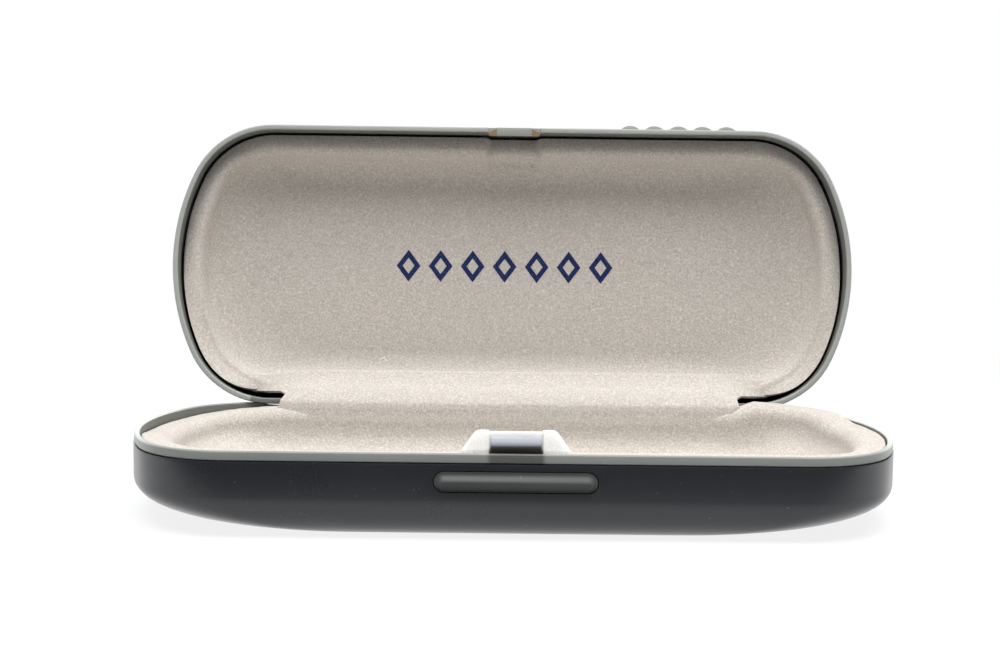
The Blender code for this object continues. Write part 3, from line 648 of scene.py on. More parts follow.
def row_tree():
    """Repeat a piece along X from the first place by a pitch, on one side or on both."""
    name = "Row of pieces"
    if name in bpy.data.node_groups:
        return bpy.data.node_groups[name]
    tree = Growth(name, [("Count", "Int"), ("First", "Float"), ("Pitch", "Float"), ("Both Sides", "Bool")])
    given = tree.given
    rows = tree.add("GeometryNodeJoinGeometry")
    for side in (1.0, -1.0):
        start, step = (tree.add("ShaderNodeCombineXYZ", {}, {"X": given[key] * side})
                       for key in ("First", "Pitch"))
        row = tree.add("GeometryNodeMeshLine", {"mode": "OFFSET"}, {
            "Count": given["Count"], "Start Location": start, "Offset": step})
        if side < 0:
            row = tree.add("GeometryNodeSwitch", {"input_type": "GEOMETRY"}, {
                0: given["Both Sides"], 2: row})
        tree.feed(rows.socket.node.inputs[0], row)
    return tree.finish(tree.add("GeometryNodeInstanceOnPoints", {}, {
        "Points": rows, "Instance": given["Geometry"]}))


def in_row(piece, finish, count, first, pitch, both=True):
    return grow(piece, row_tree(), {"Count": count, "First": first, "Pitch": pitch, "Both Sides": both,
                                    "Finish": finish})


def sweep_tree():
    """Carry a section along a path; both are lines of one mesh, told apart by its section attribute."""
    name = "Section along a path"
    if name in bpy.data.node_groups:
        return bpy.data.node_groups[name]
    tree = Growth(name, [("Edge Radius", "Float"), ("Edge Steps", "Int")])
    given = tree.given
    mark = tree.add("GeometryNodeInputNamedAttribute", {"data_type": "BOOLEAN"}, {"Name": "section"},
                    "Attribute")
    parts = tree.add("GeometryNodeSeparateGeometry", {}, {"Geometry": given["Geometry"], "Selection": mark})
    section, path = (tree.add("GeometryNodeMeshToCurve", {}, {"Mesh": parts[part]})
                     for part in ("Selection", "Inverted"))
    upright = tree.add("GeometryNodeSetCurveNormal", {"mode": "Z_UP"}, {"Curve": path})
    rounded = tree.add("GeometryNodeFilletCurve", {"mode": "POLY"}, {
        "Limit Radius": True, "Curve": section, "Radius": given["Edge Radius"],
        "Count": given["Edge Steps"]})
    return tree.finish(tree.add("GeometryNodeCurveToMesh", {}, {
        "Fill Caps": True, "Curve": upright, "Profile Curve": rounded}))


def sweep(name, path, section, finish, closed, edge=0.0, edge_steps=1):
    """Carry a closed section, as (outwards, up), along a path that runs anticlockwise seen from above."""
    points = [tuple(point) for point in path] + [(across, -up, 0.0) for across, up in section]
    joints = [(i, i + 1) for i in range(len(path) - 1)]
    if closed:
        joints.append((len(path) - 1, 0))
    for i in range(len(section)):
        joints.append((len(path) + i, len(path) + (i + 1) % len(section)))
    mesh = bpy.data.meshes.new(name)
    mesh.from_pydata(points, joints, [])
    mark = mesh.attributes.new("section", "BOOLEAN", "POINT")
    for i in range(len(path), len(points)):
        mark.data[i].value = True
    piece = bpy.data.objects.new(name, mesh)
    bpy.context.scene.collection.objects.link(piece)
    grow(piece, sweep_tree(), {"Edge Radius": edge, "Edge Steps": edge_steps, "Finish": finish})
    return face_out(piece)


def face_out(piece):
    """Merge a mesh's doubles and turn its faces outwards."""
    shape = bmesh.new()
    shape.from_mesh(piece.data)
    bmesh.ops.remove_doubles(shape, verts=shape.verts, dist=1e-7)
    bmesh.ops.recalc_face_normals(shape, faces=shape.faces)
    shape.to_mesh(piece.data)
    shape.free()
    return piece


# ---------------------------------------------------------------- the case's own shapes

def outline(half_x, half_y, side_radius, corner_radius, centre_steps=0):
    """The case's plan as a loop of (x, y): side arc, corner arc, straight, in each quarter."""
    corner_y = half_y - corner_radius
    offset = math.sqrt((side_radius - corner_radius) ** 2 - corner_y ** 2)
    side_x = half_x - side_radius
    corner_x = side_x + offset
    turn = math.atan2(corner_y, offset)
    quarter = []
    for i in range(SIDE_STEPS):
        angle = turn * i / SIDE_STEPS
        quarter.append((side_x + side_radius * math.cos(angle), side_radius * math.sin(angle)))
    for i in range(CORNER_STEPS + 1):
        angle = turn + (math.pi / 2 - turn) * i / CORNER_STEPS
        quarter.append((corner_x + corner_radius * math.cos(angle),
                        corner_y + corner_radius * math.sin(angle)))
    inner = CENTRE_HALF if centre_steps else 0.0
    for i in range(1, STRAIGHT_STEPS):
        quarter.append((corner_x + (inner - corner_x) * i / STRAIGHT_STEPS, half_y))
    for i in range(centre_steps):
        quarter.append((inner * (1 - i / centre_steps), half_y))
    loop = quarter + [(0.0, half_y)]
    loop += [(-x, y) for x, y in reversed(quarter)]
    loop += [(-x, -y) for x, y in quarter[1:]] + [(0.0, -half_y)]
    loop += [(x, -y) for x, y in reversed(quarter[1:])]
    return loop


class Plan:
    """Rings of the case's outline at any inset, height and share of the sweeps."""

    def __init__(self, scene, end_sweep=None, side_sweep=None, centre_steps=0):
        self.size = scene.case_outline
        self.end_sweep = self.size.end_sweep if end_sweep is None else end_sweep
        self.side_sweep = self.size.side_sweep if side_sweep is None else side_sweep
        self.centre_steps = centre_steps

    def level(self, inset, height, sweep=0.0):
        size = self.size
        drawn = self.side_sweep * sweep
        half_y = size.half_depth - inset - drawn
        corner = min(size.corner_radius - inset + size.corner_growth * drawn, 0.97 * half_y)
        side = max(size.side_radius - inset - drawn, half_y + 0.3 * MM)
        half_x = size.half_length - inset - self.end_sweep * sweep
        return [Vector((x, y, height)) for x, y in outline(half_x, half_y, side, corner, self.centre_steps)]

    def curve(self, inset, low, high, steps=CURVE_STEPS):
        """Rings of an elliptical turn, from the flat at height low out to the upright wall at high."""
        rings = []
        for i in range(steps + 1):
            angle = math.pi / 2 * (1 - i / steps)
            rings.append(self.level(inset, low + (high - low) * (1 - math.sin(angle)), 1 - math.cos(angle)))
        return rings


def hinge_turn():
    """The turn about the hinge that takes the shut lid to its open stop."""
    return Matrix.Translation(AXIS) @ Matrix.Rotation(-math.radians(HINGE_JOINT["range_deg"][1]), 4, "X") \
        @ Matrix.Translation(-AXIS)


def lid_place(scene):
    """From a half standing on its flat, like the base, to the lid's place at its open stop."""
    over = Matrix.Translation((0, 0, 2 * scene.case_outline.height + scene.case_rim.parting))
    return hinge_turn() @ over @ Matrix.Diagonal((1, 1, -1, 1))


def opened(piece, scene):
    piece.data.transform(lid_place(scene))
    return face_out(piece)


def shell(scene, name, floor, skirt):
    """A moulded shell standing on its flat: outside, softened and rebated edge, inside down to the floor."""
    size, rim, plan = scene.case_outline, scene.case_rim, Plan(scene)
    edge = size.height - rim.height - rim.seam
    rebate = rim.width - rim.skirt_wall - rim.seam
    turn = size.height - size.upright
    lip = 0.12 * MM
    rings = plan.curve(-size.proud, 0.0, turn)
    rings += [plan.level(-size.proud, edge - 4 * lip), plan.level(-size.proud, edge - lip),
              plan.level(-size.proud + 0.3 * lip, edge - 0.3 * lip), plan.level(-size.proud + lip, edge),
              plan.level(rebate, edge), plan.level(rebate, edge - skirt),
              plan.level(rim.width, edge - skirt)]
    rings += reversed(plan.curve(rim.width, floor, turn))
    return loft(name, rings)


def hinge_spans(scene):
    """Where each hinge's knuckles lie along X, outwards: base, lid, spring, lid, base."""
    end = hinge_end()
    step = scene.case_hinge.step
    kinds = ("base", "lid", "spring", "lid", "base")
    start = end - len(kinds) * step
    return [(kind, start + i * step, start + (i + 1) * step) for i, kind in enumerate(kinds)]


def hinge_end():
    """The outer end of the outer knuckle, just inside the pin's head."""
    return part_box("hinge_pin_right")[1].x - 0.5 * MM


def lid_notches(scene, spans):
    """Blocks that clear the shut lid's edge along each span of both hinges, in base-like heights."""
    size, gap = scene.case_outline, scene.case_latch.gap
    reach = scene.case_hinge.knuckle + 0.45 * MM
    low = size.height - (AXIS.z + reach - size.height - scene.case_rim.parting)
    tools = []
    for side in (-1, 1):
        for start, end in spans:
            room = gap + (0.5 * MM if end > hinge_end() - gap else 0.0)
            ends = sorted((side * (start - gap), side * (end + room)))
            tools.append(block(f"notch_{side}_{start:.4f}", (ends[0], AXIS.y - 4 * MM, low),
                               (ends[1], AXIS.y + 4 * MM, size.height + 2 * MM)))
    return tools


def rim(scene, name, skirt, finish):
    """A rim frame standing like the base: a rounded strip over a thin skirt, carried round the outline."""
    size, rim_size = scene.case_outline, scene.case_rim
    path = Plan(scene).level(0.0, 0.0)
    foot = size.height - rim_size.height
    section = [(0.0, foot), (0.0, size.height), (-rim_size.width, size.height),
               (-rim_size.width, foot - skirt), (-rim_size.width + rim_size.skirt_wall, foot - skirt),
               (-rim_size.width + rim_size.skirt_wall, foot)]
    return sweep(name, path, section, finish, True, rim_size.edge, 4)


def dark_lip(scene, piece, place=None):
    """Give a rim's inner face, and its front beside the hinge on the lid, the darker lip plastic."""
    size = scene.case_outline
    piece.data.materials.append(moulded("lip plastic", scene.case_colours.lip, 0.38))
    back = place.inverted() if place else Matrix()
    for face in piece.data.polygons:
        middle, normal = back @ face.center, back.to_3x3() @ face.normal
        from_straight = math.copysign(max(abs(middle.x) - LIP_STRAIGHT, 0), middle.x)
        inwards = normal.x * from_straight + normal.y * middle.y < 0
        beside_hinge = place and middle.y > size.half_depth - 3 * MM and abs(middle.x) < LIP_HINGE
        if (inwards and abs(normal.z) < 0.5) or beside_hinge:
            face.material_index = 1


def knuckle(scene, name, start_angle, end_angle, root):
    """One hinge knuckle about the axis, centred on x = 0, with its root and its bore."""
    size, gap = scene.case_hinge, scene.case_latch.gap
    steps = 26
    points = []
    for i in range(steps + 1):
        angle = math.radians(start_angle + (end_angle - start_angle) * i / steps)
        points.append((size.knuckle * math.cos(angle), size.knuckle * math.sin(angle)))
    section = [(y + AXIS.y, z + AXIS.z) for y, z in points + root]
    half = (size.step - gap) / 2
    piece = prism(name, section, 0, -half, half)
    bore = prism("bore", circle((AXIS.y, AXIS.z), size.pin + size.clearance), 0, -2 * half, 2 * half)
    carve(piece, [bore])
    return soften(piece, 0.12 * MM, 2, 50)


def lid_swell(scene, point, share):
    """How far the lid's flange stands up at a share of its width: its roll and its rise by the hinge."""
    size, x, y = scene.case_lining, abs(point.x), point.y
    roll = size.lid_roll * (1 - ease(y, 6 * MM, 20 * MM)) * math.sin(math.pi / 2 * share)
    lift = size.lid_lift * ease(y, -12 * MM, 18 * MM) * ease(x, 58 * MM, 67 * MM) * (1 - share)
    return roll + lift


def tray(scene, plan, flange_height, flange, floor, fillet, swell=None):
    """The formed lining sheet: its underside, edge, flange with its swell, fillet and hollow."""
    size = scene.case_lining
    edge = scene.case_rim.width + scene.case_latch.gap
    under, lip = flange - size.sheet, 0.2 * MM
    rings = plan.curve(under, floor - size.sheet, flange_height - size.sheet - fillet, 8)
    rings.append(plan.level(under, flange_height - size.sheet))
    rings.append(plan.level(edge + lip, flange_height - size.sheet))
    rings.append(plan.level(edge, flange_height - size.sheet + lip))
    rings.append(plan.level(edge, flange_height - 2 * lip))
    rings.append(plan.level(edge + 0.4 * lip, flange_height - 0.5 * lip))
    flat = flange - fillet - edge
    steps = max(int(flat / (0.32 * MM)), 2)
    for i in range(steps):
        rings.append(plan.level(edge + 2 * lip + (flat - 2 * lip) * i / steps, flange_height))
        for point in rings[-1]:
            point.z += swell(scene, point, i / steps) if swell else 0.0
    for i in range(FILLET_STEPS + 1):
        angle = math.pi / 2 * i / FILLET_STEPS
        rings.append(plan.level(flange - fillet + fillet * math.sin(angle),
                                flange_height - fillet * (1 - math.cos(angle))))
        for point in rings[-1]:
            point.z += swell(scene, point, 1.0) * math.cos(angle) if swell else 0.0
    rings += list(reversed(plan.curve(flange, floor, flange_height - fillet, 18)))[1:]
    return rings


def ease(value, low, high):
    """0 below low, 1 above high and smooth between them."""
    share = min(max((value - low) / (high - low), 0.0), 1.0)
    return share * share * (3 - 2 * share)


def base_floor(scene):
    """The top of the base's lining at the bottom of its hollow."""
    return scene.case_outline.base_floor + scene.case_latch.gap + scene.case_lining.sheet


def lid_floor(scene):
    """The face of the lid's lining at the bottom of its hollow, in the lid's own height."""
    return scene.case_outline.lid_top + scene.case_lining.lid_air + scene.case_lining.sheet


def base_lining_point(scene, point, floor, flange_height):
    """Lift the flange into the ear, let it sag at the back left and ride up at the back right."""
    size, depth = scene.case_lining, scene.case_outline.half_depth
    share = ease(point.z, floor + 3 * MM, flange_height - 1.4 * MM)
    x, y = point.x, point.y
    sag = ease(-x, 54 * MM, 60 * MM) * ease(y, -14 * MM, 4 * MM)
    sag *= 0.5 * MM + 1.0 * MM * ease(-x, 58 * MM, 76 * MM)
    ride = ease(x, 50 * MM, 56 * MM) * ease(y, 12 * MM, 21 * MM) * (2.2 * MM - 0.05 * (x - 56 * MM))
    sway = 0.12 * MM * math.sin(x / (19 * MM)) * ease(-y, 10 * MM, 26 * MM)
    fuzz = 0.10 * MM * noise.noise(point * 900) * ease(abs(x), 40 * MM, 55 * MM)
    point.z += share * (ride - sag + sway + fuzz)
    point.y += back_reach(scene, x, point.z, floor) * (y > 0) * ease(depth - y, 2 * MM, 7 * MM)
    inset = depth + y
    across = ease(size.ear_half_foot - abs(x), 0.0, size.ear_half_foot - size.ear_half_top)
    along = ease(inset, 1.9 * MM, 3.1 * MM) * (1 - ease(inset, 5.0 * MM, 8.6 * MM))
    point.z += share * (scene.case_outline.height + size.ear_top - flange_height) * across * along
    return point


def base_wall(scene, x, height):
    """Where the back wall of the base's hollow stands at x and a height above its floor."""
    size, lining = scene.case_outline, scene.case_lining
    low = base_floor(scene)
    high = size.height - lining.base_drop - lining.base_fillet
    drop = 1 - min(max((height - low) / (high - low), 0.0), 1.0)
    wall = size.half_depth - lining.base_flange - size.side_sweep * (1 - math.sqrt(1 - drop ** 2))
    wall -= corner_drop(scene, x)
    return wall + back_reach(scene, x, height, low)


def back_reach(scene, x, height, floor):
    """How far the base's hollow reaches back under the fold."""
    along = 1 - ease(abs(x), 47 * MM, 61 * MM)
    return scene.case_lining.back_shift * ease(height, floor + 0.3 * MM, floor + 5 * MM) * along


def lid_edge_inset(scene, x):
    """How far the lid lining's edge keeps from the rim along the hinge: more beside the fold."""
    size = scene.case_lining
    edge = scene.case_rim.width + scene.case_latch.gap
    return edge + size.fold_slit * (1 - ease(abs(x), 52 * MM, 70 * MM))


def lid_lining_point(scene, point, floor, flange_height):
    """Sink the hook's recess into the flange and draw the edge away from the rim beside the fold."""
    size, outline_size = scene.case_lining, scene.case_outline
    x, y = point.x, point.y
    inset = outline_size.half_depth + y
    top = ease(point.z, floor + 1.0 * MM, flange_height - 0.8 * MM)
    across = ease(size.recess_half + 0.6 * MM - abs(x), 0.0, 1.3 * MM)
    along = 1 - ease(inset, 7.0 * MM, 9.2 * MM)
    point.z -= size.recess_depth * top * across * along
    back = outline_size.half_depth - corner_drop(scene, x) - y
    edge = scene.case_rim.width + scene.case_latch.gap
    if y > 0 and 0 < back < 5 * MM and abs(x) < 72 * MM:
        point.y -= (lid_edge_inset(scene, x) - edge) * (1 - ease(back, edge, 5 * MM))
    point.z += 0.10 * MM * noise.noise(Vector((x, y, 0)) * 900) * ease(abs(x), 60 * MM, 70 * MM)
    return point


def corner_drop(scene, x):
    """How far the outline's back edge falls away at x, past its straight part."""
    size = scene.case_outline
    past = max(abs(x) - 56.9 * MM, 0.0)
    radius = size.corner_radius - 2 * MM
    return radius - math.sqrt(max(radius ** 2 - past ** 2, 0.0))


def through(points, steps):
    """A smooth line through points, with a number of steps between each two."""
    ends = [2 * points[0] - points[1]] + points + [2 * points[-1] - points[-2]]
    line = []
    for i in range(1, len(ends) - 2):
        a, b, c, d = ends[i - 1:i + 3]
        for step in range(steps):
            t = step / steps
            line.append(0.5 * (2 * b + (c - a) * t + (2 * a - 5 * b + 4 * c - d) * t ** 2
                               + (3 * b - a - 3 * c + d) * t ** 3))
    return line + [points[-1]]


def bar_middle(scene):
    """The height of the push bar's middle."""
    latch = scene.case_latch
    return scene.case_outline.height - latch.bar_drop - latch.bar_height / 2


def helix(start, end, across, radius, turns, per_turn=28):
    """A coil about the line from start to end, beginning on the side that across points to."""
    steps = int(turns * per_turn)
    up = Vector((0, 0, radius))
    points = []
    for i in range(steps + 1):
        angle = 2 * math.pi * turns * i / steps
        points.append(start.lerp(end, i / steps) + radius * math.cos(angle) * across + math.sin(angle) * up)
    return points


def lathe(name, profile, y, z, steps=28):
    """Turn a profile of (x, radius) about the line along X at y, z."""
    rings = []
    for x, radius in profile:
        rings.append([Vector((x, y + radius * math.cos(2 * math.pi * i / steps),
                              z + radius * math.sin(2 * math.pi * i / steps))) for i in range(steps)])
    return loft(name, rings)


# ---------------------------------------------------------------- operators

class CaseBaseShell(bpy.types.Operator):
    """Mould the base shell, with its slot for the push bar and its screw bosses"""
    bl_idname = "spectacles_case.base_shell"
    bl_label = "Base shell"

    def execute(self, context):
        scene = context.scene
        size, latch = scene.case_outline, scene.case_latch
        piece = shell(scene, "base_shell_moulding", size.base_floor, scene.case_rim.base_skirt)
        slot_height = latch.bar_height + 2 * latch.gap
        slot = prism("slot", stadium(latch.bar_half + latch.gap, slot_height, bar_middle(scene)), 1,
                     -size.half_depth - 4 * MM, -size.half_depth + 3 * MM)
        carve(piece, [slot])
        bosses = []
        for name in ("latch_screw_left", "latch_screw_right"):
            low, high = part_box(name)
            middle = (low + high) / 2
            bosses.append(prism(name + "_boss", circle((middle.x, middle.z), BOSS_RADIUS), 1,
                                -size.half_depth + 0.6 * MM, low.y + 1.8 * MM))
        carve(piece, bosses, "UNION")
        dress(smooth(piece), moulded("shell plastic", scene.case_colours.shell, 0.30, 0.35))
        hand_over(piece, "base", ["base_shell"])
        return {"FINISHED"}


class CaseLidShell(bpy.types.Operator):
    """Mould the lid shell, with its hinge notches"""
    bl_idname = "spectacles_case.lid_shell"
    bl_label = "Lid shell"

    def execute(self, context):
        scene = context.scene
        piece = shell(scene, "lid_shell_moulding", scene.case_outline.lid_top, scene.case_rim.lid_skirt)
        spans = hinge_spans(scene)
        carve(piece, lid_notches(scene, [(spans[0][1], spans[-1][2])]))
        opened(piece, scene)
        dress(smooth(piece), moulded("lid plastic", scene.case_colours.shell, 0.30, 0.35))
        hand_over(piece, "lid", ["lid_shell"])
        return {"FINISHED"}


class CaseRibRow(bpy.types.Operator):
    """Repeat the grip ribs along the lid's front edge"""
    bl_idname = "spectacles_case.grip_ribs"
    bl_label = "Grip ribs"

    def execute(self, context):
        scene = context.scene
        size, ribs = scene.case_outline, scene.case_ribs
        half = ribs.width / 2
        radius = (half ** 2 + ribs.rise ** 2) / (2 * ribs.rise)
        spread = math.asin(half / radius)
        front = -size.half_depth - size.proud
        steps, tiers = 16, 12
        rings = []
        for tier in range(tiers + 1):
            share = 2 * tier / tiers - 1
            rise = math.sqrt(max(1 - abs(share) ** 5, 0.0))
            height = size.height - ribs.start - ribs.size / 2 + share * ribs.size / 2
            ring = []
            for step in range(steps + 1):
                angle = spread * (2 * step / steps - 1)
                out = (ribs.rise - radius * (1 - math.cos(angle))) * rise
                ring.append(Vector((radius * math.sin(angle), front - out, height)))
            ring += [Vector((half, front + 0.5 * MM, height)), Vector((-half, front + 0.5 * MM, height))]
            rings.append(ring)
        piece = loft("grip_ribs", rings)
        finish = moulded("rib plastic", scene.case_colours.rib, 0.7, shine=0.1)
        in_row(piece, finish, ribs.count, ribs.first, ribs.pitch, both=False)
        opened(piece, scene)
        smooth(piece, math.radians(50))
        hand_over(piece, "lid")
        return {"FINISHED"}


class CaseBaseRim(bpy.types.Operator):
    """Carry the base's rim round its edge, lower it along the hinge and add its knuckles"""
    bl_idname = "spectacles_case.base_rim"
    bl_label = "Base rim"

    def execute(self, context):
        scene = context.scene
        size, rim_size, hinge = scene.case_outline, scene.case_rim, scene.case_hinge
        # The rim's finish carries a painted shadow in front of the hook and painted highlights at its ends
        finish = moulded("rim plastic", scene.case_colours.base_rim, 0.45, shine=0.35,
                         marks=lambda recipe, body: rim_painted_shadow_and_highlight(scene, recipe, body))
        piece = rim(scene, "base_rim_frame", rim_size.base_skirt, finish)
        foot = size.height - rim_size.height
        for vertex in piece.data.vertices:
            place = vertex.co
            if place.y > 0 and place.z > foot:
                along = 1 - ease(abs(place.x), 54 * MM, 61 * MM)
                place.z -= rim_size.relief * along * ease(place.z, foot, size.height - 2 * rim_size.edge)
        dark_lip(scene, smooth(piece))
        hand_over(piece, "base", ["base_rim"])

        outer, inner, root_foot = 1.0 * MM, 0.15 * MM, foot + 0.3 * MM - AXIS.z
        below = math.degrees(math.acos(outer / hinge.knuckle))
        under = math.degrees(math.acos(inner / hinge.knuckle))
        knuckles = knuckle(scene, "base_knuckles", -below, 360 - under,
                           [(inner, root_foot), (outer, root_foot)])
        spans = hinge_spans(scene)
        first = (spans[0][1] + spans[0][2]) / 2
        in_row(knuckles, finish, 2, first, spans[-1][1] - spans[0][1])
        smooth(face_out(knuckles))
        hand_over(knuckles, "base")
        return {"FINISHED"}


class CaseLidRim(bpy.types.Operator):
    """Carry the lid's rim round its edge, with its hinge rail, its knuckles and the catch's notch"""
    bl_idname = "spectacles_case.lid_rim"
    bl_label = "Lid rim"

    def execute(self, context):
        scene = context.scene
        size, rim_size, hinge, latch = scene.case_outline, scene.case_rim, scene.case_hinge, scene.case_latch
        finish = moulded("lid rim plastic", scene.case_colours.rim, 0.45, shine=0.35)
        piece = rim(scene, "lid_rim_frame", rim_size.lid_skirt, finish)
        spans = hinge_spans(scene)
        carve(piece, lid_notches(scene, [(low, high) for kind, low, high in spans if kind != "lid"]))
        catch = block("catch_notch", (-latch.catch_half - rim_size.seam, -size.half_depth - 1 * MM,
                                      size.height - 0.95 * MM),
                      (latch.catch_half + rim_size.seam, -size.half_depth + rim_size.width + 0.3 * MM,
                       size.height + 1 * MM))
        carve(piece, [catch])
        opened(piece, scene)
        dress(smooth(piece), finish)
        dark_lip(scene, piece, hinge_turn())
        hand_over(piece, "lid", ["lid_rim"])

        reach = hinge.knuckle + 0.85 * MM
        lean = math.degrees(math.asin(rim_size.seam / hinge.knuckle))
        knuckles = knuckle(scene, "lid_knuckles", 180, 450 + lean,
                           [(-rim_size.seam, reach), (-hinge.knuckle, reach)])
        first = (spans[1][1] + spans[1][2]) / 2
        in_row(knuckles, finish, 2, first, spans[3][1] - spans[1][1])
        turn = hinge_turn()
        rail = block("hinge_rail", (-RAIL_HALF, AXIS.y - 1.4 * MM, AXIS.z + hinge.knuckle + 0.55 * MM),
                     (RAIL_HALF, AXIS.y + 0.35 * MM, AXIS.z + 3.2 * MM))
        soften(rail, 0.15 * MM, 2)
        for part in (knuckles, rail):
            part.data.transform(turn)
            dress(smooth(face_out(part)), finish)
            hand_over(part, "lid")
        return {"FINISHED"}


class CaseLinings(bpy.types.Operator):
    """Form the flocked lining: both trays and the fold that runs over the hinge"""
    bl_idname = "spectacles_case.linings"
    bl_label = "Flocked lining"

    def execute(self, context):
        scene = context.scene
        rgb = scene.case_colours.flock
        self.tray_piece(scene, "base_lining", rgb)
        self.lid_piece(scene, "lid_lining", rgb)
        self.fold_piece(scene, "fold_lining", rgb)
        return {"FINISHED"}

    def tray_piece(self, scene, name, rgb):
        size, lining, latch = scene.case_outline, scene.case_lining, scene.case_latch
        plan = Plan(scene, centre_steps=26)
        flange_height = size.height - lining.base_drop
        floor = base_floor(scene)
        rings = tray(scene, plan, flange_height, lining.base_flange, floor, lining.base_fillet)
        rings = [[base_lining_point(scene, point, floor, flange_height) for point in ring] for ring in rings]
        piece = loft(name, rings)
        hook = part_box("latch_hook")[1]
        front, reach = -size.half_depth, hook.y + latch.travel + 0.15 * MM
        foot, top = flange_height - 2 * MM, hook.z + 1.8 * MM
        pocket = prism("hook_pocket", [(front, foot), (reach, foot), (reach, hook.z + 0.3 * MM),
                                       (reach + 0.9 * MM, top), (front, top)],
                       0, -latch.hook_half - latch.gap, latch.hook_half + latch.gap)
        carve(piece, [pocket])
        # The ear's pale colour is a painted highlight on the ear and on the wall above the hook
        dress(smooth(piece, SOFT_ANGLE), flock(
            "base flock", rgb, scene.case_colours.ear, lining.ear_half_foot - 1 * MM,
            -size.half_depth + 6.5 * MM, size.height + 0.1 * MM))
        hand_over(piece, "base", ["base_liner"])

    def lid_piece(self, scene, name, rgb):
        size, lining = scene.case_outline, scene.case_lining
        plan = Plan(scene, 14 * MM, 7 * MM, centre_steps=26)
        flange_height = size.height - lining.lid_drop
        floor = lid_floor(scene)
        rings = tray(scene, plan, flange_height, lining.lid_flange, floor, lining.lid_fillet, lid_swell)
        rings = [[lid_lining_point(scene, point, floor, flange_height) for point in ring] for ring in rings]
        piece = opened(loft(name, rings), scene)
        dress(smooth(piece, SOFT_ANGLE), flock("lid flock", rgb))
        hand_over(piece, "lid", ["lid_liner"])

    def fold_piece(self, scene, name, rgb):
        """A sheet from the base's flange over the hinge into the lid's flange, with wings along the lid."""
        size, lining = scene.case_outline, scene.case_lining
        base_z = size.height - lining.base_drop
        knots = [Vector((base_wall(scene, 0.0, height * MM) - 0.12 * MM, height * MM))
                 for height in (5.4, 7.4, 9.5, 11.6, 13.6)]
        knots += [Vector(point) * MM for point in (
            (28.02, base_z / MM - 1.2), (28.3, base_z / MM + 0.3), (28.9, 18.3), (31.2, 20.3),
            (33.6, 21.6), (35.3, 22.7), (36.45, 23.6), (36.95, 24.05), (37.5, 24.4))]
        steps, across, wing = 6, 90, 26
        line = through(knots, steps)
        foot, free, crease = 4 * steps, 8 * steps, 12 * steps
        rows = []
        for i, place in enumerate(line):
            rise = min(max((i - free) / (crease - free), 0.0), 1.2)
            opening = ease(i, free - 2, free + 2)
            low = min(max((i - foot) / (free - foot), 0.0), 1.0)
            row = []
            for side in (-1, 1):
                flare = (1 - low) ** 2 * (2.0 * MM if side < 0 else 5.0 * MM)
                half = lining.fold_half + flare
                half += 0.9 * MM * (1 - ease(i, free - steps, free)) ** 2 * (side < 0)
                reach = half + lining.fold_wing * opening
                part = []
                for j in range(across // 2 + wing + 1):
                    share = j / (across // 2)
                    x = share * (half - 4 * MM) if share <= 1 else \
                        half - 4 * MM + (reach - half + 4 * MM) * (j - across // 2) / wing
                    wing_end = lining.fold_half + lining.fold_wing
                    blend = ease(x, half - 5 * MM, wing_end) if opening > 0 else 0.0
                    flat = self.on_lid(scene, side * x, rise)
                    spot = Vector((side * x, place[0], place[1]))
                    shift = base_wall(scene, side * x, place[1]) - base_wall(scene, 0.0, place[1])
                    shift += 0.6 * MM * max(ease(x, half - 7 * MM, half), 1 - ease(i, 0, steps))
                    spot.y += shift * (1 - ease(place[1], 13.6 * MM, 16.2 * MM))
                    row_point = spot.lerp(flat, blend)
                    row_point.x = side * x
                    part.append(row_point)
                row = part[::-1] + row if side < 0 else row + part[1:]
            rows.append(row)
        width = len(rows[0])
        points = [point for row in rows for point in row]
        faces = [(i * width + j, i * width + j + 1, (i + 1) * width + j + 1, (i + 1) * width + j)
                 for i in range(len(rows) - 1) for j in range(width - 1)]
        piece = bpy.data.objects.new(name, bpy.data.meshes.new(name))
        piece.data.from_pydata([tuple(point) for point in points], [], faces)
        bpy.context.scene.collection.objects.link(piece)
        modifier = piece.modifiers.new("Thickness", "SOLIDIFY")
        modifier.thickness = 0.55 * MM
        modifier.offset = -1.0
        settle(piece)
        face_out(piece)
        dress(smooth(piece, SOFT_ANGLE), flock("fold flock", rgb))
        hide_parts("hinge_web")
        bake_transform(piece)

    def on_lid(self, scene, x, rise):
        """A point of the lid's flange beside the fold: its edge at rise 0, past its fillet at rise 1."""
        size, lining = scene.case_outline, scene.case_lining
        edge = lid_edge_inset(scene, x) - 0.2 * MM
        inset = edge + (5.7 * MM - edge) * rise
        sink = max(inset - 4.4 * MM, 0.0) * 0.45
        reach = ease(abs(x), lining.fold_half, lining.fold_half + lining.fold_wing)
        height = size.height - lining.lid_drop + 0.06 * MM - sink - 0.2 * MM * ease(reach, 0.75, 1.0)
        spot = Vector((x, size.half_depth - corner_drop(scene, x) - inset, height))
        return lid_place(scene) @ spot


class CaseOrnament(bpy.types.Operator):
    """Print a plain row of open lozenges on the lid's lining"""
    bl_idname = "spectacles_case.ornament"
    bl_label = "Ornament"

    def execute(self, context):
        scene = context.scene
        floor, layer = lid_floor(scene), INK_LAYER
        wide, tall = LOZENGE_HALF
        outer = [(wide, 0.0), (0.0, tall), (-wide, 0.0), (0.0, -tall)]
        inner = [(x * 0.5, y * 0.5) for x, y in outer]
        piece = prism("lozenge_row", outer, 2, floor - layer, floor + layer)
        carve(piece, [prism("lozenge_hole", inner, 2, floor - 3 * layer, floor + 3 * layer)])
        finish = ink("lining ink", scene.case_colours.ink)
        in_row(piece, finish, LOZENGES, LOZENGE_FIRST, LOZENGE_PITCH, both=False)
        piece.data.transform(Matrix.Translation((0, LOZENGE_OFFSET, 0)))
        opened(piece, scene)
        hand_over(piece, "lid")
        return {"FINISHED"}


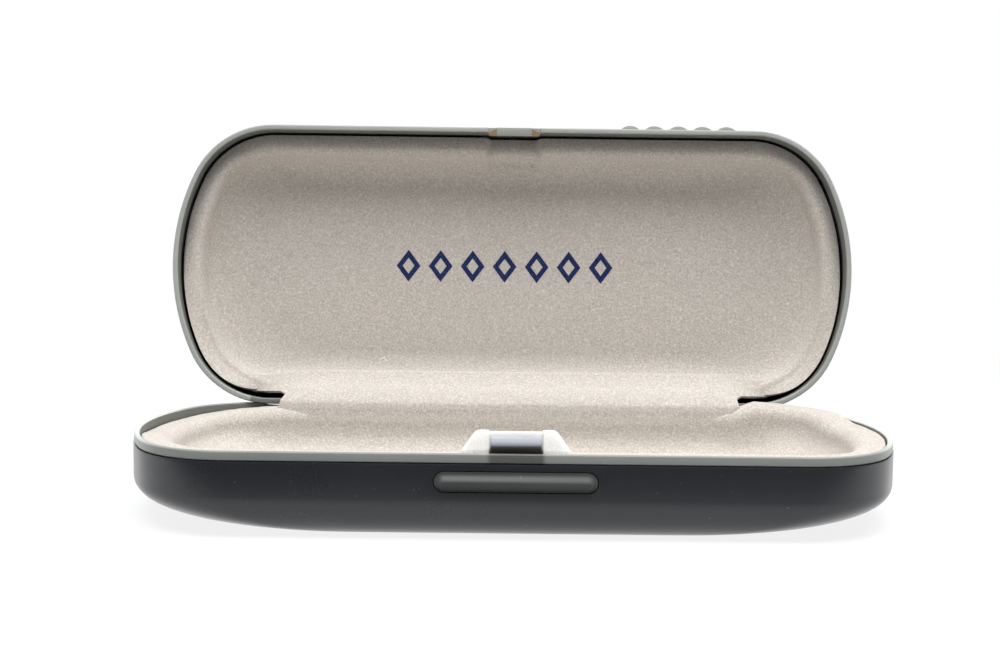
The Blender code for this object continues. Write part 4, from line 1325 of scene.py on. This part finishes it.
class CaseLint(bpy.types.Operator):
    """Leave a small curl of lint on the lid's lining"""
    bl_idname = "spectacles_case.lint"
    bl_label = "Lint"

    def execute(self, context):
        scene = context.scene
        floor = lid_floor(scene)
        path = []
        for i in range(25):
            share = i / 24
            path.append(Vector((-31.6 * MM + 2.4 * MM * share + 0.35 * MM * math.sin(9 * share),
                                21.4 * MM + 0.9 * MM * share + 0.45 * MM * math.cos(8 * share),
                                floor + 0.25 * MM + 0.15 * MM * math.sin(11 * share))))
        piece = sweep("lint_curl", path, circle((0.0, 0.0), 0.14 * MM, 8),
                      flock("lint", scene.case_colours.ear), False)
        piece.data.transform(lid_place(scene))
        smooth(face_out(piece), SOFT_ANGLE)
        hand_over(piece, "lid")
        return {"FINISHED"}


class CaseLatchPieces(bpy.types.Operator):
    """Make the push bar, the hook and the catch"""
    bl_idname = "spectacles_case.latch"
    bl_label = "Latch"

    def execute(self, context):
        scene = context.scene
        self.bar(scene)
        self.hook(scene)
        self.catch(scene)
        return {"FINISHED"}

    def pegs(self, scene, name, radius, start, end):
        """The bar's two pegs, or their holes."""
        offset = PEG_OFFSET
        return [prism(f"{name}_{side}", circle((side * offset, bar_middle(scene)), radius), 1, start, end)
                for side in (-1, 1)]

    def bar(self, scene):
        """The raised bar with its sloped upper edge and the pegs that hold the hook's plate."""
        size, latch, bar_z = scene.case_outline, scene.case_latch, bar_middle(scene)
        face = -size.half_depth - size.proud - latch.bar_proud
        half, tall = latch.bar_half + 0.12 * MM, latch.bar_height + 0.24 * MM
        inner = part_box("push_button")[1].y
        rings = []
        for i in range(19):
            share = 1 - i / 18
            top, foot = latch.bar_slope * share, latch.bar_edge * share
            y = face + latch.bar_proud * (1 - ease(top, 0.3 * MM, latch.bar_slope))
            edge = stadium(half - (top + foot) / 2, tall - top - foot, bar_z + (foot - top) / 2)
            rings.append([Vector((x, y, z)) for x, z in edge])
        rings.append([Vector((x, -size.half_depth + 1.3 * MM, z)) for x, z in stadium(half, tall, bar_z)])
        bar = loft("push_bar", rings)
        carve(bar, self.pegs(scene, "peg", PEG_RADIUS, -size.half_depth + 0.8 * MM, inner), "UNION")
        # The bar's finish carries painted shade along its lower edge
        dress(smooth(bar), moulded("bar plastic", scene.case_colours.bar, 0.50, shine=0.36,
                                   marks=lambda recipe, body: bar_painted_underside_shade(scene, recipe, body)))
        hand_over(bar, "latch", ["push_button"])

    def hook(self, scene):
        """The rounded hook on its stem, joined to the sliding plate."""
        size, latch = scene.case_outline, scene.case_latch
        low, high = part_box("latch_hook")
        crown, lip = high.z, size.height + 1.25 * MM
        stem_back, brow = high.y, lip + 0.3 * MM
        profile = [(stem_back - 1.4 * MM, 13 * MM), (stem_back, 13 * MM), (stem_back, crown - 0.15 * MM)]
        for i in range(11):
            angle = math.pi / 2 * i / 10
            profile.append((stem_back - 0.4 * MM - (stem_back - 0.4 * MM - low.y) * math.sin(angle),
                            brow + (crown - brow) * math.cos(angle)))
        profile += [(low.y, lip), (stem_back - 1.4 * MM, lip - 0.1 * MM)]
        hook = prism("latch_hook_piece", profile, 0, -latch.hook_half, latch.hook_half)
        soften(hook, 0.25 * MM, 4, 50)
        guide_low, guide_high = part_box("latch_guide")
        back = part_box("return_spring_left")[0].y - 0.1 * MM
        plate = block("hook_plate", (low.x, back - PLATE, guide_low.z), (high.x, back, guide_high.z))
        carve(plate, self.pegs(scene, "peg_hole", PEG_RADIUS + 0.2 * MM, back - 2 * MM, back + 1 * MM))
        carve(hook, [plate], "UNION")
        # The hook's finish carries painted shade towards its foot and a painted highlight at the back of its
        # crown
        dress(smooth(hook), hook_painted_shade_finish(scene, "hook plastic", size.height + 0.5 * MM,
                                        size.height + 1.8 * MM, stem_back))
        hand_over(hook, "latch", ["latch_hook"])

    def catch(self, scene):
        """The catch in the lid's front edge: its block and the slanted gussets beside it."""
        size, latch, colours = scene.case_outline, scene.case_latch, scene.case_colours
        front = -size.half_depth + 0.06 * MM
        clear = -size.half_depth + scene.case_rim.width + 0.3 * MM
        reach = -size.half_depth + 2.0 * MM
        block_half = latch.catch_block
        catch = prism("catch_block", [(-block_half, front), (block_half, front), (block_half, reach),
                                      (-block_half, reach)], 2, size.height - 0.75 * MM, size.height)
        soften(catch, 0.1 * MM, 2)
        wide = latch.catch_half
        gussets = [prism(f"gusset_{side}", [(side * x, y) for x, y in (
            (block_half - 0.1 * MM, front + 0.3 * MM), (wide - 0.1 * MM, clear - 0.3 * MM),
            (wide + 0.2 * MM, clear), (wide - 0.4 * MM, reach), (block_half - 0.1 * MM, reach))], 2,
            size.height - 0.7 * MM, size.height - 0.05 * MM) for side in (-1, 1)]
        for part in (catch, *gussets):
            opened(part, scene)
            finish = moulded("catch plastic", colours.catch, 0.42) if part == catch else \
                moulded("gusset plastic", colours.gusset, 0.5)
            dress(smooth(part), finish)
            hand_over(part, "lid", ["catch_plate"])


class CaseHingeHardware(bpy.types.Operator):
    """Turn the headed pins and wind the torsion springs"""
    bl_idname = "spectacles_case.hinge"
    bl_label = "Hinge pins and springs"

    def execute(self, context):
        scene = context.scene
        hinge = scene.case_hinge
        spans = hinge_spans(scene)
        inner, outer = spans[0][1] + 0.3 * MM, spans[-1][2]
        low, high = spans[2][1] + 0.5 * MM, spans[2][2] - 0.5 * MM
        for side, word in ((-1, "left"), (1, "right")):
            finish = steel(f"{word} hinge steel", scene.case_colours.steel)
            head, dome, end = 0.85 * MM, 0.14 * MM, outer + 0.5 * MM
            profile = [(inner, hinge.pin - dome), (inner + dome, hinge.pin), (outer, hinge.pin),
                       (outer, head), (end - dome, head), (end, head - 2 * dome)]
            profile = [(side * x, radius) for x, radius in profile]
            pin = lathe(f"hinge_pin_{word}_turned", profile, AXIS.y, AXIS.z)
            dress(smooth(pin), finish)
            hand_over(pin, "base", [f"hinge_pin_{word}"])
            path = self.spring_path(scene, sorted((side * low, side * high)))
            wire = circle((0.0, 0.0), hinge.wire, 10)
            coil = sweep(f"hinge_spring_{word}_wound", path, wire, finish, False)
            smooth(coil, SOFT_ANGLE)
            hand_over(coil, "base", [f"hinge_spring_{word}"])
        return {"FINISHED"}

    def spring_path(self, scene, ends):
        """A leg down onto the base rim, a coil about the pin, and a leg back to the open lid's rail."""
        hinge = scene.case_hinge
        start, end = (Vector((x, AXIS.y, AXIS.z)) for x in ends)
        foot = scene.case_outline.height - scene.case_rim.relief + 0.4 * MM
        leg = Vector((start.x, AXIS.y + hinge.coil, foot))
        rest = Vector((end.x, AXIS.y + 1.1 * MM, AXIS.z - hinge.coil - 0.02 * MM))
        return [leg, *helix(start, end, Vector((0, 1, 0)), hinge.coil, hinge.turns), rest]


class CaseInside(bpy.types.Operator):
    """Finish the hidden latch pieces: guide, screws and return springs"""
    bl_idname = "spectacles_case.inside"
    bl_label = "Latch guide, screws and springs"

    def execute(self, context):
        scene = context.scene
        guide = moulded("guide plastic", scene.case_colours.guide, 0.45)
        metal = steel("latch steel", scene.case_colours.steel)
        dress(frame["nodes"]["latch_guide"], guide)
        for word in ("left", "right"):
            dress(frame["nodes"][f"latch_screw_{word}"], metal)
            self.return_spring(scene, f"return_spring_{word}", metal)
        return {"FINISHED"}

    def return_spring(self, scene, node, finish):
        """A coil between the hook's plate and the guide."""
        latch = scene.case_latch
        wire = latch.spring_wire
        low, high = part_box(node)
        middle, length = (low + high) / 2, high.y - low.y
        start, end = (Vector((middle.x, y, middle.z)) for y in (low.y + wire, high.y - wire))
        path = helix(start, end, Vector((1, 0, 0)), (high.x - low.x) / 2 - wire, 3, 24)
        coil = sweep(f"{node}_wound", path, circle((0.0, 0.0), wire, 8), finish, False)
        smooth(coil, SOFT_ANGLE)
        hand_over(coil, "base", [node])
        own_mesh(coil)


class CaseStage(bpy.types.Operator):
    """Set the floor, the studio light and the camera"""
    bl_idname = "spectacles_case.stage"
    bl_label = "Stage"

    def execute(self, context):
        scene = context.scene
        self.floor(scene)
        self.surround(scene)
        self.lamp(scene)
        self.camera(scene)
        scene.view_settings.view_transform = "Standard"
        return {"FINISHED"}

    def floor(self, scene):
        """Pale paper that the camera sees nearly white, with the soft shadow of the case on it."""
        half, level = 3.0, -0.05 * MM
        corners = [(-half, -half, level), (half, -half, level), (half, half, level), (-half, half, level)]
        ground = new_piece("floor", corners, [(0, 1, 2, 3)])
        recipe = Recipe("floor paper")
        rays = recipe.add("ShaderNodeLightPath")
        seen, mirrored = rays["Is Camera Ray"], rays["Is Glossy Ray"]
        tint = scene.case_colours.floor
        paper = recipe.mix(recipe.noise(900, 2, 0.5).clamp(0.3, 0.7) * 0.02, shade(tint), shade(tint, 0.96))
        unseen = recipe.mix(mirrored, shade((0.55, 0.55, 0.55)), shade((0.03, 0.03, 0.03)))
        matt = recipe.add("ShaderNodeBsdfDiffuse", {}, {"Color": recipe.mix(seen, unseen, paper)})
        glow = recipe.add("ShaderNodeEmission", {}, {"Color": shade((1.0, 1.0, 1.0)), "Strength": 1.0})
        radius = recipe.add("ShaderNodeVectorMath", {"operation": "LENGTH"}, {0: recipe.place()}, "Value")
        near = recipe.axis(1).clamp(-0.085, -0.040)
        share = seen * (0.85 + 0.15 * radius.clamp(0.10, 0.35)) + mirrored * near
        recipe.finish(recipe.add("ShaderNodeMixShader", {}, {0: share, 1: matt, 2: glow}))
        dress(ground, recipe.material)

    def surround(self, scene):
        """White to the camera; brighter above, behind and at the sides than in front for all else."""
        scene.world = bpy.data.worlds.new("studio")
        scene.world.use_nodes = True
        tree = Tree(scene.world.node_tree)
        rays = tree.add("ShaderNodeLightPath")
        direction = tree.add("ShaderNodeTexCoord", output="Generated")
        behind = tree.add("ShaderNodeSeparateXYZ", {}, {0: direction}, "Y") * 0.5 + 0.5
        stops = [(0.15, shade((0.10, 0.10, 0.105))), (0.70, shade((1.0, 1.0, 1.0)))]
        light = tree.add("ShaderNodeValToRGB", {"ramp": stops}, {0: behind})
        strength = rays["Is Glossy Ray"] * 0.30 + 0.85
        near = tree.add("ShaderNodeBackground", {}, {"Color": light, "Strength": strength})
        far = tree.add("ShaderNodeBackground", {}, {"Color": shade((1.0, 1.0, 1.0))})
        mixed = tree.add("ShaderNodeMixShader", {}, {0: rays["Is Camera Ray"], 1: near, 2: far})
        tree.add("ShaderNodeOutputWorld", {}, {"Surface": mixed})

    def lamp(self, scene):
        light = bpy.data.lights.new("overhead", "AREA")
        light.shape = "RECTANGLE"
        light.size, light.size_y = LAMP_SIZE
        light.energy = LAMP_POWER
        lamp = bpy.data.objects.new("overhead", light)
        scene.collection.objects.link(lamp)
        lamp.location = LAMP_PLACE
        aim = Vector(LAMP_TARGET) - Vector(LAMP_PLACE)
        lamp.rotation_euler = aim.to_track_quat("-Z", "Y").to_euler()

    def camera(self, scene):
        yaw, pitch, roll = CAMERA_YAW, CAMERA_PITCH, CAMERA_ROLL
        ahead = math.cos(pitch)
        forward = Vector((math.sin(yaw) * ahead, math.cos(yaw) * ahead, -math.sin(pitch)))
        level = Vector((math.cos(yaw), -math.sin(yaw), 0.0))
        upright = level.cross(forward)
        right = math.cos(roll) * level + math.sin(roll) * upright
        up = math.cos(roll) * upright - math.sin(roll) * level
        lens = bpy.data.cameras.new("camera")
        lens.lens, lens.sensor_width, lens.clip_start, lens.clip_end = CAMERA_LENS, 36.0, 0.01, 20.0
        camera = bpy.data.objects.new("camera", lens)
        scene.collection.objects.link(camera)
        turn = Matrix((right, up, -forward)).transposed().to_4x4()
        camera.matrix_world = Matrix.Translation(CAMERA_PLACE) @ turn
        scene.camera = camera


class CasePanel(bpy.types.Panel):
    """The case's pieces and their sizes"""
    bl_idname = "VIEW3D_PT_spectacles_case"
    bl_label = "Spectacles Case"
    bl_space_type = "VIEW_3D"
    bl_region_type = "UI"
    bl_category = "Spectacles Case"

    def draw(self, context):
        for operator in OPERATORS:
            self.layout.operator(operator.bl_idname)
        for name, group in GROUPS.items():
            box = self.layout.box()
            box.label(text=group.__doc__)
            for key in group.__annotations__:
                box.prop(getattr(context.scene, name), key)


OPERATORS = (CaseStage, CaseBaseShell, CaseBaseRim, CaseLidShell, CaseRibRow, CaseLidRim, CaseLinings,
             CaseOrnament, CaseLint, CaseLatchPieces, CaseHingeHardware, CaseInside)


def register():
    for kind in (*GROUPS.values(), *OPERATORS, CasePanel):
        bpy.utils.register_class(kind)
    for name, group in GROUPS.items():
        setattr(bpy.types.Scene, name, PointerProperty(type=group))


def unregister():
    for name in GROUPS:
        delattr(bpy.types.Scene, name)
    for kind in reversed((*GROUPS.values(), *OPERATORS, CasePanel)):
        bpy.utils.unregister_class(kind)


def main():
    for name in ("Cube", "Light", "Camera"):
        if name in bpy.data.objects:
            bpy.data.objects.remove(bpy.data.objects[name])
    register()
    for operator in OPERATORS:
        group, name = operator.bl_idname.split(".")
        getattr(getattr(bpy.ops, group), name)()


if __name__ == "__main__":
    main()
